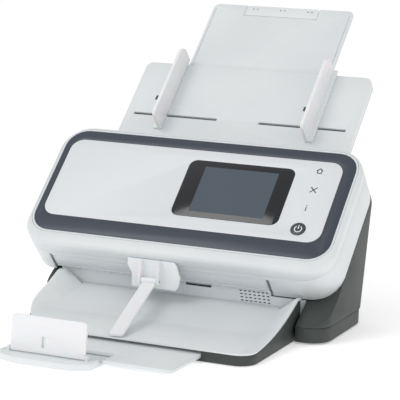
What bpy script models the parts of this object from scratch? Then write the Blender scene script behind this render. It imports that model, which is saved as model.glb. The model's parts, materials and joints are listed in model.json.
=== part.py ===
"""Desktop document scanner: a tilted front cover with a touch display hinges open over the paper path.

World frame: X to the right, Y to the back, Z up, metres. The object stands on its feet at Z = 0.
The face frame shares X, runs up the front face with Y, and points out of the face with Z, so a depth
into the body (w) is a negative Z there.
"""
import math

import bmesh
import bpy
from mathutils import Matrix, Vector

MM = 0.001

# Common clearances and walls
GAP = 0.3 * MM
RUN = 0.5 * MM
OVERRUN = 2.0 * MM
WALL = 2.4 * MM
ROUND_STEPS = 6
ROD_SIDES = 24

# The tilted face
FACE_SLOPE = math.radians(42.96)
FACE_HEIGHT = 75.87 * MM

# Front cover
POD_HALF = 156.0 * MM
POD_LOW = -15.6 * MM
POD_HIGH = 129.0 * MM
POD_CORNER = 29.0 * MM
POD_SEAM = 13.0 * MM
POD_BACK = 43.2 * MM
POD_EDGE = 4.5 * MM
HEEL_STEPS = 12
PATH_HALF = 114.0 * MM
PATH_MID_V = 95.0 * MM
PATH_LOW_V = -18.0 * MM
POD_PATH_TOP = 21.0 * MM
POD_PATH_MID = 31.2 * MM
BEZEL_HALF = 149.8 * MM
BEZEL_HIGH = 122.7 * MM
BEZEL_CORNER = 20.0 * MM
BEZEL_DEEP = 3.0 * MM
TRIM_WIDTH = 2.1 * MM
PANEL_LEFT = -143.9 * MM
PANEL_RIGHT = 138.2 * MM
PANEL_LOW = 17.7 * MM
PANEL_HIGH = 111.7 * MM
PANEL_CORNER = 13.0 * MM
TOUCH_LEFT = -14.0 * MM
TOUCH_RIGHT = 93.6 * MM
TOUCH_LOW = 32.4 * MM
TOUCH_HIGH = 99.7 * MM
TOUCH_CORNER = 8.0 * MM
TOUCH_DEEP = 1.4 * MM
DISPLAY_LEFT = 0.5 * MM
DISPLAY_RIGHT = 80.8 * MM
DISPLAY_LOW = 36.0 * MM
DISPLAY_HIGH = 95.5 * MM
DISPLAY_DEEP = 5.0 * MM

# Power button and the key board behind it
BUTTON_U = 114.7 * MM
BUTTON_V = 31.7 * MM
BUTTON_RADIUS = 7.0 * MM
BUTTON_TRAVEL = 0.8 * MM
BUTTON_PROUD = 0.3 * MM
STEM_RADIUS = 2.2 * MM
KEY_BOARD_DEPTH = 9.6 * MM
KEY_BOARD_THICK = 1.6 * MM
KEY_BOARD_LEFT = 98.0 * MM
KEY_BOARD_RIGHT = 134.0 * MM
KEY_BOARD_LOW = 22.0 * MM
KEY_BOARD_HIGH = 108.0 * MM
POST_RADIUS = 2.5 * MM
POST_INSET = 5.0 * MM

# Cover hinge
HINGE_V = -8.0 * MM
HINGE_W = 24.0 * MM
HINGE_PIN_RADIUS = 2.5 * MM
HINGE_PIN_HALF = 6.0 * MM
HINGE_PLATE_THICK = 2.0 * MM
HINGE_PLATE_INSET = 5.0 * MM
HINGE_PLATE_RIGHT = 95.0 * MM
HINGE_EYE_RADIUS = 5.5 * MM
HINGE_SLOT = 3.2 * MM
HINGE_BOSS = 4.0 * MM
PIN_PLAY = 0.06 * MM

# Base
BASE_LEFT = -131.0 * MM
BASE_RIGHT = 156.0 * MM
BASE_FRONT = -11.0 * MM
BASE_REAR = 103.0 * MM
REAR_LEAN_SHARE = 0.215
BASE_CORNER = 20.0 * MM
BASE_CROWN_LEFT = 8.0 * MM
BASE_SEAM = 14.9 * MM
FOOT_HEIGHT = 1.5 * MM
FOOT_RADIUS = 9.0 * MM
FOOT_INSET = 16.0 * MM
BASE_FLOOR = 2.5 * MM
HOUSING_PLANE = 43.6 * MM
CHEEK_TOP_Y = 16.5 * MM
CHEEK_TOP_Z = 33.2 * MM
CHEEK_MEET_V = -13.0 * MM
BAY_PLAY = 2.5 * MM
BAY_REAR = 21.0 * MM

# Paper guide
GUIDE_TOP_V = 128.2 * MM
GUIDE_TOP_W = 33.0 * MM
GUIDE_MID_W = 35.6 * MM
GUIDE_LOW_V = -9.0 * MM
GUIDE_LOW_W = 46.0 * MM
GUIDE_HALF = 111.0 * MM
GUIDE_THICK = 2.6 * MM
GUIDE_STEP_V = 92.0 * MM
WINDOW_HALF = 70.0 * MM
LUG_U = 62.0 * MM
LUG_THICK = 3.0 * MM

# Rollers and scanning glasses, by their place along the path
FEED_V = 78.0 * MM
FEED_RADIUS = 11.0 * MM
DRIVE_V = 52.0 * MM
DRIVE_RADIUS = 9.0 * MM
GLASS_V = 30.0 * MM
EXIT_V = 8.0 * MM
EXIT_RADIUS = 7.0 * MM
TYRE_OUTER = 30.0 * MM
AXLE_RADIUS = 3.0 * MM
ROLLER_POCKET = 1.2 * MM
GLASS_HALF = 104.0 * MM
GLASS_HIGH = 9.0 * MM
GLASS_THICK = 2.0 * MM
SENSOR_DEEP = 9.0 * MM

# Input tray
TRAY_HINGE_RISE = 7.0 * MM
TRAY_HINGE_EDGE = 2.0 * MM
TRAY_HINGE_W = 39.0 * MM
TRAY_HALF = 121.7 * MM
TRAY_HIGH_V = 246.0 * MM
TRAY_CORNER = 7.0 * MM
TRAY_W = 32.0 * MM
TRAY_THICK = 2.4 * MM
SKIRT_W = 40.0 * MM
TRAY_COVER_THICK = 2.2 * MM
EAR_THICK = 4.5 * MM
EAR_CLEAR = 2.4 * MM
EAR_ABOVE_PIN = 6.0 * MM
EAR_FRONT_W = 33.5 * MM
EAR_BACK_W = 47.0 * MM
EAR_FOOT_V = 112.0 * MM
TRAY_PIN_RADIUS = 2.2 * MM
TRAY_PIN_INNER = 112.0 * MM
SLOT_V = 176.8 * MM
SLOT_HALF = 1.5 * MM
SLOT_INNER = 22.0 * MM
SLOT_OUTER = 113.2 * MM
SIDE_GUIDE_FACE = 76.5 * MM
SIDE_GUIDE_THICK = 3.0 * MM
SIDE_FOOT_WIDTH = 8.0 * MM
SIDE_FOOT_THICK = 1.6 * MM
SIDE_GUIDE_TALL = 25.0 * MM
SIDE_GUIDE_LOW_V = 158.0 * MM
SIDE_GUIDE_HIGH_V = 252.0 * MM
SIDE_GUIDE_ROUND = 12.0 * MM
SIDE_STEM_HALF = 1.2 * MM
LAYER_GAP = 0.3 * MM
EXT_THICK = 2.5 * MM
RACK_THICK = 2.4 * MM
RACK_BODY = 3.0 * MM
RACK_REACH = 116.0 * MM
PINION_TEETH = 16
GEAR_MODULE = 1.0 * MM
GEAR_ADDENDUM_SHARE = 0.8
GEAR_DEDENDUM_SHARE = 1.15
TOOTH_ROOT_SHARE = 0.25
TOOTH_TIP_SHARE = 0.11
PINION_BORE = 2.5 * MM

# Input extension and its flip tab
EXT_HALF = 77.0 * MM
EXT_LOW_V = 240.0 * MM
EXT_HIGH_V = 336.0 * MM
EXT_CORNER = 6.0 * MM
TONGUE_HALF = 18.0 * MM
TONGUE_LOW_V = 202.0 * MM
EXT_RIM_WIDTH = 2.6 * MM
EXT_GROOVE_WIDTH = 1.0 * MM
EXT_GROOVE_DEEP = 0.8 * MM
TAB_LEFT = -40.0 * MM
TAB_RIGHT = 39.5 * MM
TAB_LOW_V = 322.5 * MM
TAB_PIVOT_V = 324.2 * MM
TAB_PIN_RADIUS = 0.8 * MM
TAB_PIN_LONG = 2.5 * MM
TAB_PLAY = 0.8 * MM

# Output tray
TUB_FRONT = -111.5 * MM
TUB_BACK = 16.0 * MM
TUB_BEND_Y = -40.0 * MM
TUB_FLOOR_FRONT = 11.0 * MM
TUB_FLOOR_BACK = 24.7 * MM
TUB_THICK = 1.6 * MM
TUB_RIM_LEFT = -119.0 * MM
TUB_RIM_RIGHT = 125.0 * MM
TUB_SLOPE_BACK = 22.0 * MM
TUB_SLOPE_FRONT = 10.0 * MM
TUB_LIP = 3.2 * MM
TUB_WALL_BACK = 12.5 * MM
TUB_RIM_TOP_Y = 3.0 * MM
TUB_RIM_BACK = 37.0 * MM
TUB_RIM_POWER_SHARE = 2.1
TUB_CORNER = 16.0 * MM
TUB_SWEEP_X = 85.0 * MM
TUB_SWEEP_Y = 81.5 * MM
SWEEP_STEPS = 16
TUB_STATIONS = 18
SHELL_MARGIN = 0.5 * MM
SHELL_BACK = 8.0 * MM
SHELL_BOTTOM = 0.6 * MM
SKIRT_FRONT = -92.0 * MM
SKIRT_LEFT_END = -46.0 * MM
RAIL_INNER = 77.5 * MM
RAIL_OUTER = 90.0 * MM
RAIL_TOP = 3.2 * MM

# Output extension, its tongue and the end stop
STAGE_HALF = 80.0 * MM
STAGE_LOW = 3.5 * MM
STAGE_HIGH = 6.5 * MM
STAGE_FRONT = -172.0 * MM
STAGE_BACK = -70.0 * MM
STAGE_NOTCH_RIGHT = 16.0 * MM
STAGE_NOTCH_BACK = -147.0 * MM
STAGE_CORNER = 4.0 * MM
LIP_LEFT = -77.0 * MM
LIP_RIGHT = 13.0 * MM
LIP_FRONT = -198.0 * MM
LIP_BOW = 11.0 * MM
RUNNER_LOW = 0.9 * MM
RUNNER_HIGH = 3.1 * MM
RUNNER_BACK = -110.0 * MM
MOUTH_DEEP = 20.0 * MM
LIP_STEPS = 14
STOP_LEFT = -67.0 * MM
STOP_RIGHT = 4.0 * MM
STOP_Y = -180.0 * MM
STOP_HINGE_Z = 8.6 * MM
STOP_LOW = 7.4 * MM
STOP_HIGH = 38.5 * MM
STOP_THICK = 3.0 * MM
STOP_CORNER = 2.5 * MM
STOP_LEAN = math.radians(6)
STOP_SLOT_X = -36.0 * MM
STOP_SLOT_HALF = 1.4 * MM
STOP_SLOT_LOW = 12.0 * MM
STOP_SLOT_HIGH = 22.0 * MM
STOP_PIN_RADIUS = 1.0 * MM
STOP_EAR = 2.2 * MM

# Exit panel, comb strip and speaker grille
EXIT_Y = 17.2 * MM
EXIT_THICK = 2.2 * MM
EXIT_TOP = 38.2 * MM
EXIT_SIDE_TOP = 33.5 * MM
EXIT_BOTTOM = 15.4 * MM
EXIT_SHELF_V = -9.6 * MM
EXIT_SHELF_W = 45.2 * MM
EXIT_SHELF_THICK = 1.8 * MM
EXIT_WINDOW_LEFT = 8.0 * MM
EXIT_WINDOW_RIGHT = 34.0 * MM
EXIT_WINDOW_LOW = 34.6 * MM
GRILLE_LEFT = 62.0 * MM
GRILLE_TOP = 35.2 * MM
GRILLE_PITCH_X = 4.4 * MM
GRILLE_PITCH_Z = 3.0 * MM
GRILLE_STAGGER = 0.7 * MM
GRILLE_SLOT_LONG = 2.6 * MM
GRILLE_SLOT_HIGH = 1.1 * MM
GRILLE_COLUMNS = 7
GRILLE_ROWS = 4
STRIP_LOW_W = 20.0 * MM
STRIP_HIGH_W = 33.6 * MM
STRIP_THICK = 1.6 * MM
STRIP_LEFT = -123.5 * MM
STRIP_RIGHT = 92.5 * MM
NOTCH_W = 36.3 * MM
NOTCH_TOP_V = -1.0 * MM
NOTCH_TOP_W = 41.4 * MM
COMB_THICK = 1.2 * MM
COMB_LONG = 1.9 * MM
COMB_DEEP = 2.0 * MM
COMB_PITCH = 7.0 * MM
COMB_SPANS = ((-112.0 * MM, 10), (40.0 * MM, 7))

# Output guide bracket and hold-down arm
BRACKET_LEFT = -40.0 * MM
BRACKET_RIGHT = 9.4 * MM
BRACKET_WING = 13.4 * MM
BRACKET_LOW_LEFT = -35.3 * MM
BRACKET_LOW_RIGHT = 11.7 * MM
BRACKET_TOP = 59.8 * MM
BRACKET_SHOULDER = 46.0 * MM
BRACKET_BOTTOM = 33.6 * MM
BRACKET_ROUND = 3.0 * MM
BRACKET_Y = -9.0 * MM
BRACKET_THICK = 2.2 * MM
BRACKET_COLUMN_LEFT = -26.0 * MM
BRACKET_COLUMN_RIGHT = -5.5 * MM
ARM_PIVOT_Y = -12.5 * MM
ARM_PIVOT_Z = 41.0 * MM
ARM_WIDTH = 13.0 * MM
ARM_THICK = 2.2 * MM
ARM_LONG = 104.0 * MM
ARM_DROP = math.radians(14.8)
ARM_EYE_RADIUS = 3.0 * MM
ARM_PIN_RADIUS = 1.3 * MM
ARM_SIDE = math.radians(8)
CHEEK_THICK = 2.0 * MM

# Inner works of the base
BOARD_THICK = 1.6 * MM
BOARD_LEFT = -110.0 * MM
BOARD_RIGHT = 20.0 * MM
BOARD_FRONT = 34.0 * MM
BOARD_BACK = 92.0 * MM
BOARD_Z = 22.0 * MM
MOTOR_RADIUS = 14.0 * MM
MOTOR_LONG = 30.0 * MM
MOTOR_X = 38.0 * MM
MOTOR_Y = 66.0 * MM
MOTOR_Z = 32.0 * MM
SHAFT_LONG = 9.0 * MM
SPEAKER_RADIUS = 8.5 * MM
SPEAKER_Z = 24.5 * MM
SPEAKER_DEEP = 6.0 * MM
SOCKET_WIDTH = 20.0 * MM
SOCKET_HEIGHT = 13.0 * MM
SOCKET_DEEP = 18.0 * MM
SOCKET_X = 96.0 * MM
USB_WIDTH = 13.0 * MM
USB_HEIGHT = 11.5 * MM
USB_DEEP = 16.0 * MM
USB_X = -96.0 * MM
PORT_Z = 26.0 * MM
PORT_WALL = 1.2 * MM

# Cover release button on the top edge
RELEASE_LEFT = -112.0 * MM
RELEASE_RIGHT = -94.0 * MM
RELEASE_LOW_W = 15.2 * MM
RELEASE_HIGH_W = 18.2 * MM
RELEASE_DEEP = 6.0 * MM


TRAY_HINGE_V = POD_HIGH + TRAY_HINGE_RISE
TRAY_LOW_V = TRAY_HINGE_V - TRAY_HINGE_EDGE
EAR_HIGH_V = TRAY_HINGE_V + EAR_ABOVE_PIN


def face_yz(v, w):
    """Depth and height in the base's own frame of a point v up the face and w into the body."""
    return (v * math.cos(FACE_SLOPE) + w * math.sin(FACE_SLOPE),
            FACE_HEIGHT + v * math.sin(FACE_SLOPE) - w * math.cos(FACE_SLOPE))


TAB_BACK_Y = face_yz(EXT_HIGH_V, TRAY_W + TRAY_THICK + LAYER_GAP + EXT_THICK)[0]
Y_CENTRE = (TAB_BACK_Y + LIP_FRONT) / 2
BASE = Matrix.Translation((0, -Y_CENTRE, 0))
FACE = BASE @ Matrix.Translation((0, 0, FACE_HEIGHT)) @ Matrix.Rotation(FACE_SLOPE, 4, "X")

EXT_W = TRAY_W + TRAY_THICK + LAYER_GAP
RACK_W = EXT_W + EXT_THICK + LAYER_GAP
COVER_W = SKIRT_W + LAYER_GAP
PINION_RADIUS = PINION_TEETH * GEAR_MODULE / 2
HINGE_PLATE_LEFT = BASE_LEFT + HINGE_PLATE_INSET
TRAY_SHELL_LEFT = TUB_RIM_LEFT - SHELL_MARGIN
TRAY_SHELL_RIGHT = TUB_RIM_RIGHT + SHELL_MARGIN
TRAY_SHELL_TOP = TUB_FLOOR_FRONT - TUB_THICK - GAP
BAY_LEFT = TRAY_SHELL_LEFT - BAY_PLAY
BAY_RIGHT = TRAY_SHELL_RIGHT + BAY_PLAY
EXIT_STEP_X = HINGE_PLATE_RIGHT - HINGE_SLOT / 2 - GAP


# Outlines and solids

def rounded(low_a, high_a, low_b, high_b, radii, steps=ROUND_STEPS):
    """A rectangle with a radius for each corner, from the low-low one anticlockwise."""
    corners = [(low_a, low_b, 180, 1, 1), (high_a, low_b, 270, -1, 1),
               (high_a, high_b, 0, -1, -1), (low_a, high_b, 90, 1, -1)]
    points = []
    for (a, b, start, in_a, in_b), radius in zip(corners, radii):
        if radius <= 0:
            points.append((a, b))
            continue
        centre_a = a + in_a * radius
        centre_b = b + in_b * radius
        for step in range(steps + 1):
            turn = math.radians(start + 90 * step / steps)
            points.append((centre_a + radius * math.cos(turn), centre_b + radius * math.sin(turn)))
    return points


def circle(centre_a, centre_b, radius, sides=ROD_SIDES):
    return [(centre_a + radius * math.cos(math.tau * side / sides),
             centre_b + radius * math.sin(math.tau * side / sides)) for side in range(sides)]


def prism(points, low, high, axis):
    """Extrude an outline from low to high along an axis; the outline's own axes follow in order."""
    def at(a, b, along):
        return {"X": (along, a, b), "Y": (a, along, b), "Z": (a, b, along)}[axis]

    shape = bmesh.new()
    face = shape.faces.new([shape.verts.new(at(a, b, low)) for a, b in points])
    grown = bmesh.ops.extrude_face_region(shape, geom=[face])
    moved = [item for item in grown["geom"] if isinstance(item, bmesh.types.BMVert)]
    bmesh.ops.translate(shape, verts=moved, vec=at(0, 0, high - low))
    bmesh.ops.recalc_face_normals(shape, faces=shape.faces)
    return shape


def block(low, high):
    """A box between two corners."""
    return prism([(low[0], low[1]), (high[0], low[1]), (high[0], high[1]), (low[0], high[1])],
                 low[2], high[2], "Z")


def depth_prism(points, near_w, far_w):
    """An outline on the face, extruded between two depths."""
    return prism(points, -far_w, -near_w, "Z")


def depth_block(low_u, high_u, low_v, high_v, near_w, far_w):
    return block((low_u, low_v, -far_w), (high_u, high_v, -near_w))


def side_prism(profile, low_u, high_u):
    """A profile of (v, w) points, extruded across the width."""
    return prism([(v, -w) for v, w in profile], low_u, high_u, "X")


def rod(centre, radius, low, high, axis="X", sides=ROD_SIDES):
    return prism(circle(centre[0], centre[1], radius, sides), low, high, axis)


def round_edges(shape, chosen, radius, steps=4):
    """Round the edges of a shape that a test picks by their two ends."""
    edges = [edge for edge in shape.edges if chosen(edge.verts[0].co, edge.verts[1].co)]
    bmesh.ops.bevel(shape, geom=edges, offset=radius, segments=steps, profile=0.5, affect="EDGES",
                    clamp_overlap=True)
    return shape


# Objects, joint frames and cuts

def finish(name, colour, roughness, metallic=0.0):
    material = bpy.data.materials.get(name)
    if material is None:
        material = bpy.data.materials.new(name)
        material.use_nodes = True
        shader = material.node_tree.nodes["Principled BSDF"]
        shader.inputs["Base Color"].default_value = (*colour, 1)
        shader.inputs["Roughness"].default_value = roughness
        shader.inputs["Metallic"].default_value = metallic
    return material


def white_plastic():
    return finish("white_plastic", (0.76, 0.79, 0.8), 0.45)


def grey_plastic():
    return finish("grey_plastic", (0.62, 0.65, 0.67), 0.5)


def bezel_plastic():
    return finish("bezel_plastic", (0.07, 0.09, 0.12), 0.4)


def dark_plastic():
    return finish("dark_plastic", (0.075, 0.085, 0.085), 0.5)


def frosted_plastic():
    return finish("frosted_plastic", (0.85, 0.87, 0.89), 0.35)


def black_glass():
    return finish("black_glass", (0.017, 0.021, 0.025), 0.08)


def display_glass():
    return finish("display_glass", (0.1, 0.13, 0.16), 0.3)


def scan_glass():
    return finish("scan_glass", (0.6, 0.65, 0.65), 0.05)


def steel():
    return finish("steel", (0.55, 0.56, 0.58), 0.3, 1.0)


def rubber():
    return finish("rubber", (0.03, 0.03, 0.032), 0.8)


def board_green():
    return finish("board_green", (0.02, 0.12, 0.05), 0.5)


def black_plastic():
    return finish("black_plastic", (0.02, 0.02, 0.022), 0.5)


def hang(thing, parent, world):
    """Place a thing by its world matrix and parent it to a joint frame."""
    thing.parent = parent
    if parent is not None:
        thing.matrix_parent_inverse = PLACES[parent.name].inverted()
    thing.matrix_basis = world
    PLACES[thing.name] = world
    return thing


def joint_frame(name, parent, world):
    """An empty on a joint's axis, which carries the pieces that the joint moves."""
    empty = bpy.data.objects.new(name, None)
    empty.empty_display_size = POD_SEAM
    bpy.context.scene.collection.objects.link(empty)
    return hang(empty, parent, world)


def as_object(name, shape, parent, world):
    mesh = bpy.data.meshes.new(name)
    shape.to_mesh(mesh)
    shape.free()
    made = bpy.data.objects.new(name, mesh)
    bpy.context.scene.collection.objects.link(made)
    return hang(made, parent, world)


def piece(name, shape, material, parent, world=None):
    made = as_object(name, shape, parent, FACE if world is None else world)
    made.data.materials.append(material)
    made.data.shade_smooth()
    made.data.set_sharp_from_angle(angle=math.radians(35))
    return made


def tool(name, shape, parent, world=None):
    """A helper solid that cuts or joins, hidden and drawn as wire."""
    made = as_object("tool_" + name, shape, parent, FACE if world is None else world)
    made.hide_render = True
    made.display_type = "WIRE"
    return made


def combine(target, helper, operation):
    change = target.modifiers.new(helper.name, "BOOLEAN")
    change.operation = operation
    change.object = helper
    change.solver = "EXACT"


def cut(target, name, shape, world=None):
    helper = tool(target.name + "_" + name, shape, target.parent, world)
    combine(target, helper, "DIFFERENCE")
    return helper


def join(target, name, shape, world=None):
    helper = tool(target.name + "_" + name, shape, target.parent, world)
    combine(target, helper, "UNION")
    return helper


def keep(target, name, shape, world=None):
    helper = tool(target.name + "_" + name, shape, target.parent, world)
    combine(target, helper, "INTERSECT")
    return helper


PLACES = {}


# Paper path surfaces

def pod_path(v, back=0.0):
    """Depth of the cover's path surface, on the line between its middle and its heel."""
    share = (PATH_MID_V - v) / (PATH_MID_V - PATH_LOW_V)
    return POD_PATH_MID + (POD_BACK - POD_PATH_MID) * share - back


def guide_path(v):
    share = (PATH_MID_V - v) / (PATH_MID_V - GUIDE_LOW_V)
    return GUIDE_MID_W + (GUIDE_LOW_W - GUIDE_MID_W) * share


def nip(v):
    return (pod_path(v) + guide_path(v)) / 2


def path_block(back=0.0):
    """The space that the paper path takes out of the cover's back, or that plus a wall in front of it."""
    rise = OVERRUN if back == 0.0 else 0.0
    half = PATH_HALF + back
    profile = [(POD_HIGH + OVERRUN, POD_PATH_TOP - back), (PATH_MID_V, POD_PATH_MID - back),
               (PATH_LOW_V, POD_BACK - back), (PATH_LOW_V, POD_BACK + OVERRUN + rise),
               (POD_HIGH + OVERRUN, POD_BACK + OVERRUN + rise)]
    return side_prism(profile, -half, half)


# The front cover

def pod_outline(inset=0.0):
    radius = POD_CORNER - inset
    return rounded(-POD_HALF + inset, POD_HALF - inset, POD_LOW + inset, POD_HIGH - inset, [radius] * 4)


def bezel_outline(grow=0.0):
    return rounded(-BEZEL_HALF - grow, BEZEL_HALF + grow, -grow, BEZEL_HIGH + grow, [BEZEL_CORNER + grow] * 4)


def panel_outline(inset=0.0):
    return rounded(PANEL_LEFT + inset, PANEL_RIGHT - inset, PANEL_LOW + inset, PANEL_HIGH - inset,
                   [PANEL_CORNER - inset] * 4)


def touch_outline(inset=0.0):
    return rounded(TOUCH_LEFT + inset, TOUCH_RIGHT - inset, TOUCH_LOW + inset, TOUCH_HIGH - inset,
                   [TOUCH_CORNER - inset] * 4)


def on_front_edge(first, second):
    return abs(first.z) < GAP and abs(second.z) < GAP


def heel_swing():
    """What lies outside the arc in which the heel turns past the housing's front."""
    reach = HOUSING_PLANE - HINGE_W - GAP
    widest = math.asin((HINGE_V - POD_LOW + OVERRUN) / reach)
    turns = [widest * step / HEEL_STEPS for step in range(HEEL_STEPS + 1)]
    arc = [(HINGE_V - reach * math.sin(turn), HINGE_W + reach * math.cos(turn)) for turn in turns]
    return arc + [(POD_LOW - OVERRUN, POD_BACK + OVERRUN), (HINGE_V, POD_BACK + OVERRUN)]


def make_pod_front_shell(cover):
    shape = round_edges(depth_prism(pod_outline(), 0, POD_SEAM), on_front_edge, POD_EDGE)
    shell = piece("pod_front_shell", shape, white_plastic(), cover)
    recess = TRIM_WIDTH + 2 * GAP
    floor = BEZEL_DEEP + GAP
    cut(shell, "recess", depth_prism(bezel_outline(recess), -OVERRUN, floor))
    cut(shell, "cavity", depth_prism(pod_outline(WALL), floor + WALL, POD_SEAM + OVERRUN))
    window = [DISPLAY_LEFT - RUN, DISPLAY_RIGHT + RUN, DISPLAY_LOW - RUN, DISPLAY_HIGH + RUN]
    cut(shell, "display", depth_block(*window, 0, POD_SEAM))
    cut(shell, "stem", rod((BUTTON_U, BUTTON_V), STEM_RADIUS + RUN, -POD_SEAM, 0, "Z"))
    for index, (u, v) in enumerate(key_posts()):
        join(shell, f"post_{index}", rod((u, v), POST_RADIUS, -KEY_BOARD_DEPTH + GAP, -floor - GAP, "Z"))
    return shell


def key_posts():
    return [(u, v) for u in (KEY_BOARD_LEFT + POST_INSET, KEY_BOARD_RIGHT - POST_INSET)
            for v in (KEY_BOARD_LOW + POST_INSET, KEY_BOARD_HIGH - POST_INSET)]


def make_bezel(cover):
    trim = piece("bezel_trim", depth_prism(bezel_outline(TRIM_WIDTH + GAP), 0, BEZEL_DEEP), grey_plastic(),
                 cover)
    cut(trim, "inside", depth_prism(bezel_outline(GAP), -OVERRUN, BEZEL_DEEP + OVERRUN))
    bezel = piece("bezel", depth_prism(bezel_outline(), 0, BEZEL_DEEP), bezel_plastic(), cover)
    cut(bezel, "panel", depth_prism(panel_outline(), -OVERRUN, BEZEL_DEEP + OVERRUN))


def make_control_panel(cover):
    panel = piece("control_panel", depth_prism(panel_outline(GAP), 0, BEZEL_DEEP), white_plastic(), cover)
    cut(panel, "touch", depth_prism(touch_outline(), -OVERRUN, BEZEL_DEEP + OVERRUN))
    cut(panel, "button", rod((BUTTON_U, BUTTON_V), BUTTON_RADIUS + GAP, -BEZEL_DEEP - OVERRUN, OVERRUN, "Z",
                             32))
    piece("touch_glass", depth_prism(touch_outline(GAP), 0, TOUCH_DEEP), black_glass(), cover)
    module = [DISPLAY_LEFT, DISPLAY_RIGHT, DISPLAY_LOW, DISPLAY_HIGH]
    piece("display_module", depth_block(*module, TOUCH_DEEP + GAP, TOUCH_DEEP + GAP + DISPLAY_DEEP),
          display_glass(), cover)


def make_key_board(cover):
    board = [KEY_BOARD_LEFT, KEY_BOARD_RIGHT, KEY_BOARD_LOW, KEY_BOARD_HIGH]
    keys = piece("key_board", depth_block(*board, KEY_BOARD_DEPTH, KEY_BOARD_DEPTH + KEY_BOARD_THICK),
                 board_green(), cover)
    join(keys, "switch", rod((BUTTON_U, BUTTON_V), STEM_RADIUS, -KEY_BOARD_DEPTH - GAP,
                             -KEY_BOARD_DEPTH + KEY_BOARD_THICK, "Z"))


def make_power_button(button):
    cap_back = BEZEL_DEEP - BUTTON_TRAVEL - GAP
    cap = rod((BUTTON_U, BUTTON_V), BUTTON_RADIUS, -cap_back, BUTTON_PROUD, "Z", 32)
    made = piece("power_button", cap, white_plastic(), button)
    stem_end = KEY_BOARD_DEPTH - KEY_BOARD_THICK - BUTTON_TRAVEL - GAP
    join(made, "stem", rod((BUTTON_U, BUTTON_V), STEM_RADIUS, -stem_end, -GAP, "Z"))


def hinge_sides():
    return (("left", HINGE_PLATE_LEFT), ("right", HINGE_PLATE_RIGHT))


def make_pod_rear_shell(cover):
    near = POD_SEAM + GAP
    shell = piece("pod_rear_shell", depth_prism(pod_outline(), near, POD_BACK), white_plastic(), cover)
    cut(shell, "heel_swing", side_prism(heel_swing(), -POD_HALF - OVERRUN, POD_HALF + OVERRUN))
    cavity = cut(shell, "cavity", depth_prism(pod_outline(WALL), near - OVERRUN, POD_BACK - WALL))
    combine(cavity, tool("cavity_path", path_block(WALL), cover), "DIFFERENCE")
    heel = depth_block(-POD_HALF, POD_HALF, POD_LOW, NOTCH_TOP_V + WALL, NOTCH_W - WALL, POD_BACK)
    combine(cavity, tool("cavity_heel", heel, cover), "DIFFERENCE")
    cut(shell, "path", path_block())
    notch = [(POD_LOW - OVERRUN, NOTCH_W), (POD_LOW, NOTCH_W), (NOTCH_TOP_V, NOTCH_TOP_W),
             (NOTCH_TOP_V, POD_BACK + OVERRUN), (POD_LOW - OVERRUN, POD_BACK + OVERRUN)]
    cut(shell, "notch", side_prism(notch, HINGE_PLATE_LEFT, HINGE_PLATE_RIGHT))
    for index, u in enumerate(comb_places()):
        rib = depth_block(u, u + COMB_THICK, POD_LOW, POD_LOW + COMB_DEEP, NOTCH_W - WALL / 2,
                          NOTCH_W + COMB_LONG)
        join(shell, f"comb_{index}", rib)
    for side, u in hinge_sides():
        boss = depth_block(u - HINGE_PIN_HALF, u + HINGE_PIN_HALF, POD_LOW + WALL / 2, HINGE_V + HINGE_BOSS,
                           HINGE_W - HINGE_BOSS, HINGE_W + HINGE_BOSS)
        join(shell, "boss_" + side, boss)
        reach = HINGE_EYE_RADIUS + RUN
        cut(shell, "slot_" + side, depth_block(u - HINGE_SLOT / 2, u + HINGE_SLOT / 2, POD_LOW - OVERRUN,
                                               HINGE_V + reach, HINGE_W - reach, POD_BACK + OVERRUN))
        cut(shell, "bore_" + side, rod((HINGE_V, -HINGE_W), HINGE_PIN_RADIUS + PIN_PLAY,
                                       u - HINGE_PIN_HALF - OVERRUN, u + HINGE_PIN_HALF + OVERRUN))
    pocket = FEED_RADIUS + ROLLER_POCKET
    cut(shell, "separation", depth_block(-TYRE_OUTER - RUN, TYRE_OUTER + RUN, FEED_V - pocket,
                                         FEED_V + pocket,
                                         POD_PATH_MID - WALL - OVERRUN, POD_BACK))
    glass = (GLASS_V - GLASS_HIGH - GAP, GLASS_V + GLASS_HIGH + GAP)
    cut(shell, "glass", depth_block(-GLASS_HALF - GAP, GLASS_HALF + GAP, *glass,
                                    pod_path(glass[1]) - WALL - OVERRUN, POD_BACK))
    for sign in (-1, 1):
        u = sign * (TYRE_OUTER + RUN + LUG_THICK)
        lug = depth_block(u - LUG_THICK / 2, u + LUG_THICK / 2, FEED_V - AXLE_RADIUS * 2,
                          FEED_V + AXLE_RADIUS * 2,
                          nip(FEED_V) - FEED_RADIUS - AXLE_RADIUS * 2, pod_path(FEED_V) - WALL / 2)
        join(shell, f"lug_{sign}", lug)
    cut(shell, "axle", rod((FEED_V, -(nip(FEED_V) - GAP / 2 - FEED_RADIUS)), AXLE_RADIUS + PIN_PLAY,
                           -LUG_U, LUG_U))
    cut(shell, "release", depth_block(RELEASE_LEFT - GAP, RELEASE_RIGHT + GAP, POD_HIGH - WALL - OVERRUN,
                                      POD_HIGH + OVERRUN, RELEASE_LOW_W - GAP, RELEASE_HIGH_W + GAP))
    cut(shell, "strip", depth_block(STRIP_LEFT - GAP, STRIP_RIGHT + GAP, POD_LOW - OVERRUN,
                                    POD_LOW + STRIP_THICK + GAP, STRIP_LOW_W - GAP, STRIP_HIGH_W + GAP))
    return shell


def comb_places():
    return [start + step * COMB_PITCH for start, count in COMB_SPANS for step in range(count)]


def make_exit_strip(cover):
    strip = depth_block(STRIP_LEFT, STRIP_RIGHT, POD_LOW, POD_LOW + STRIP_THICK, STRIP_LOW_W, STRIP_HIGH_W)
    piece("exit_strip", strip, grey_plastic(), cover)


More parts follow.
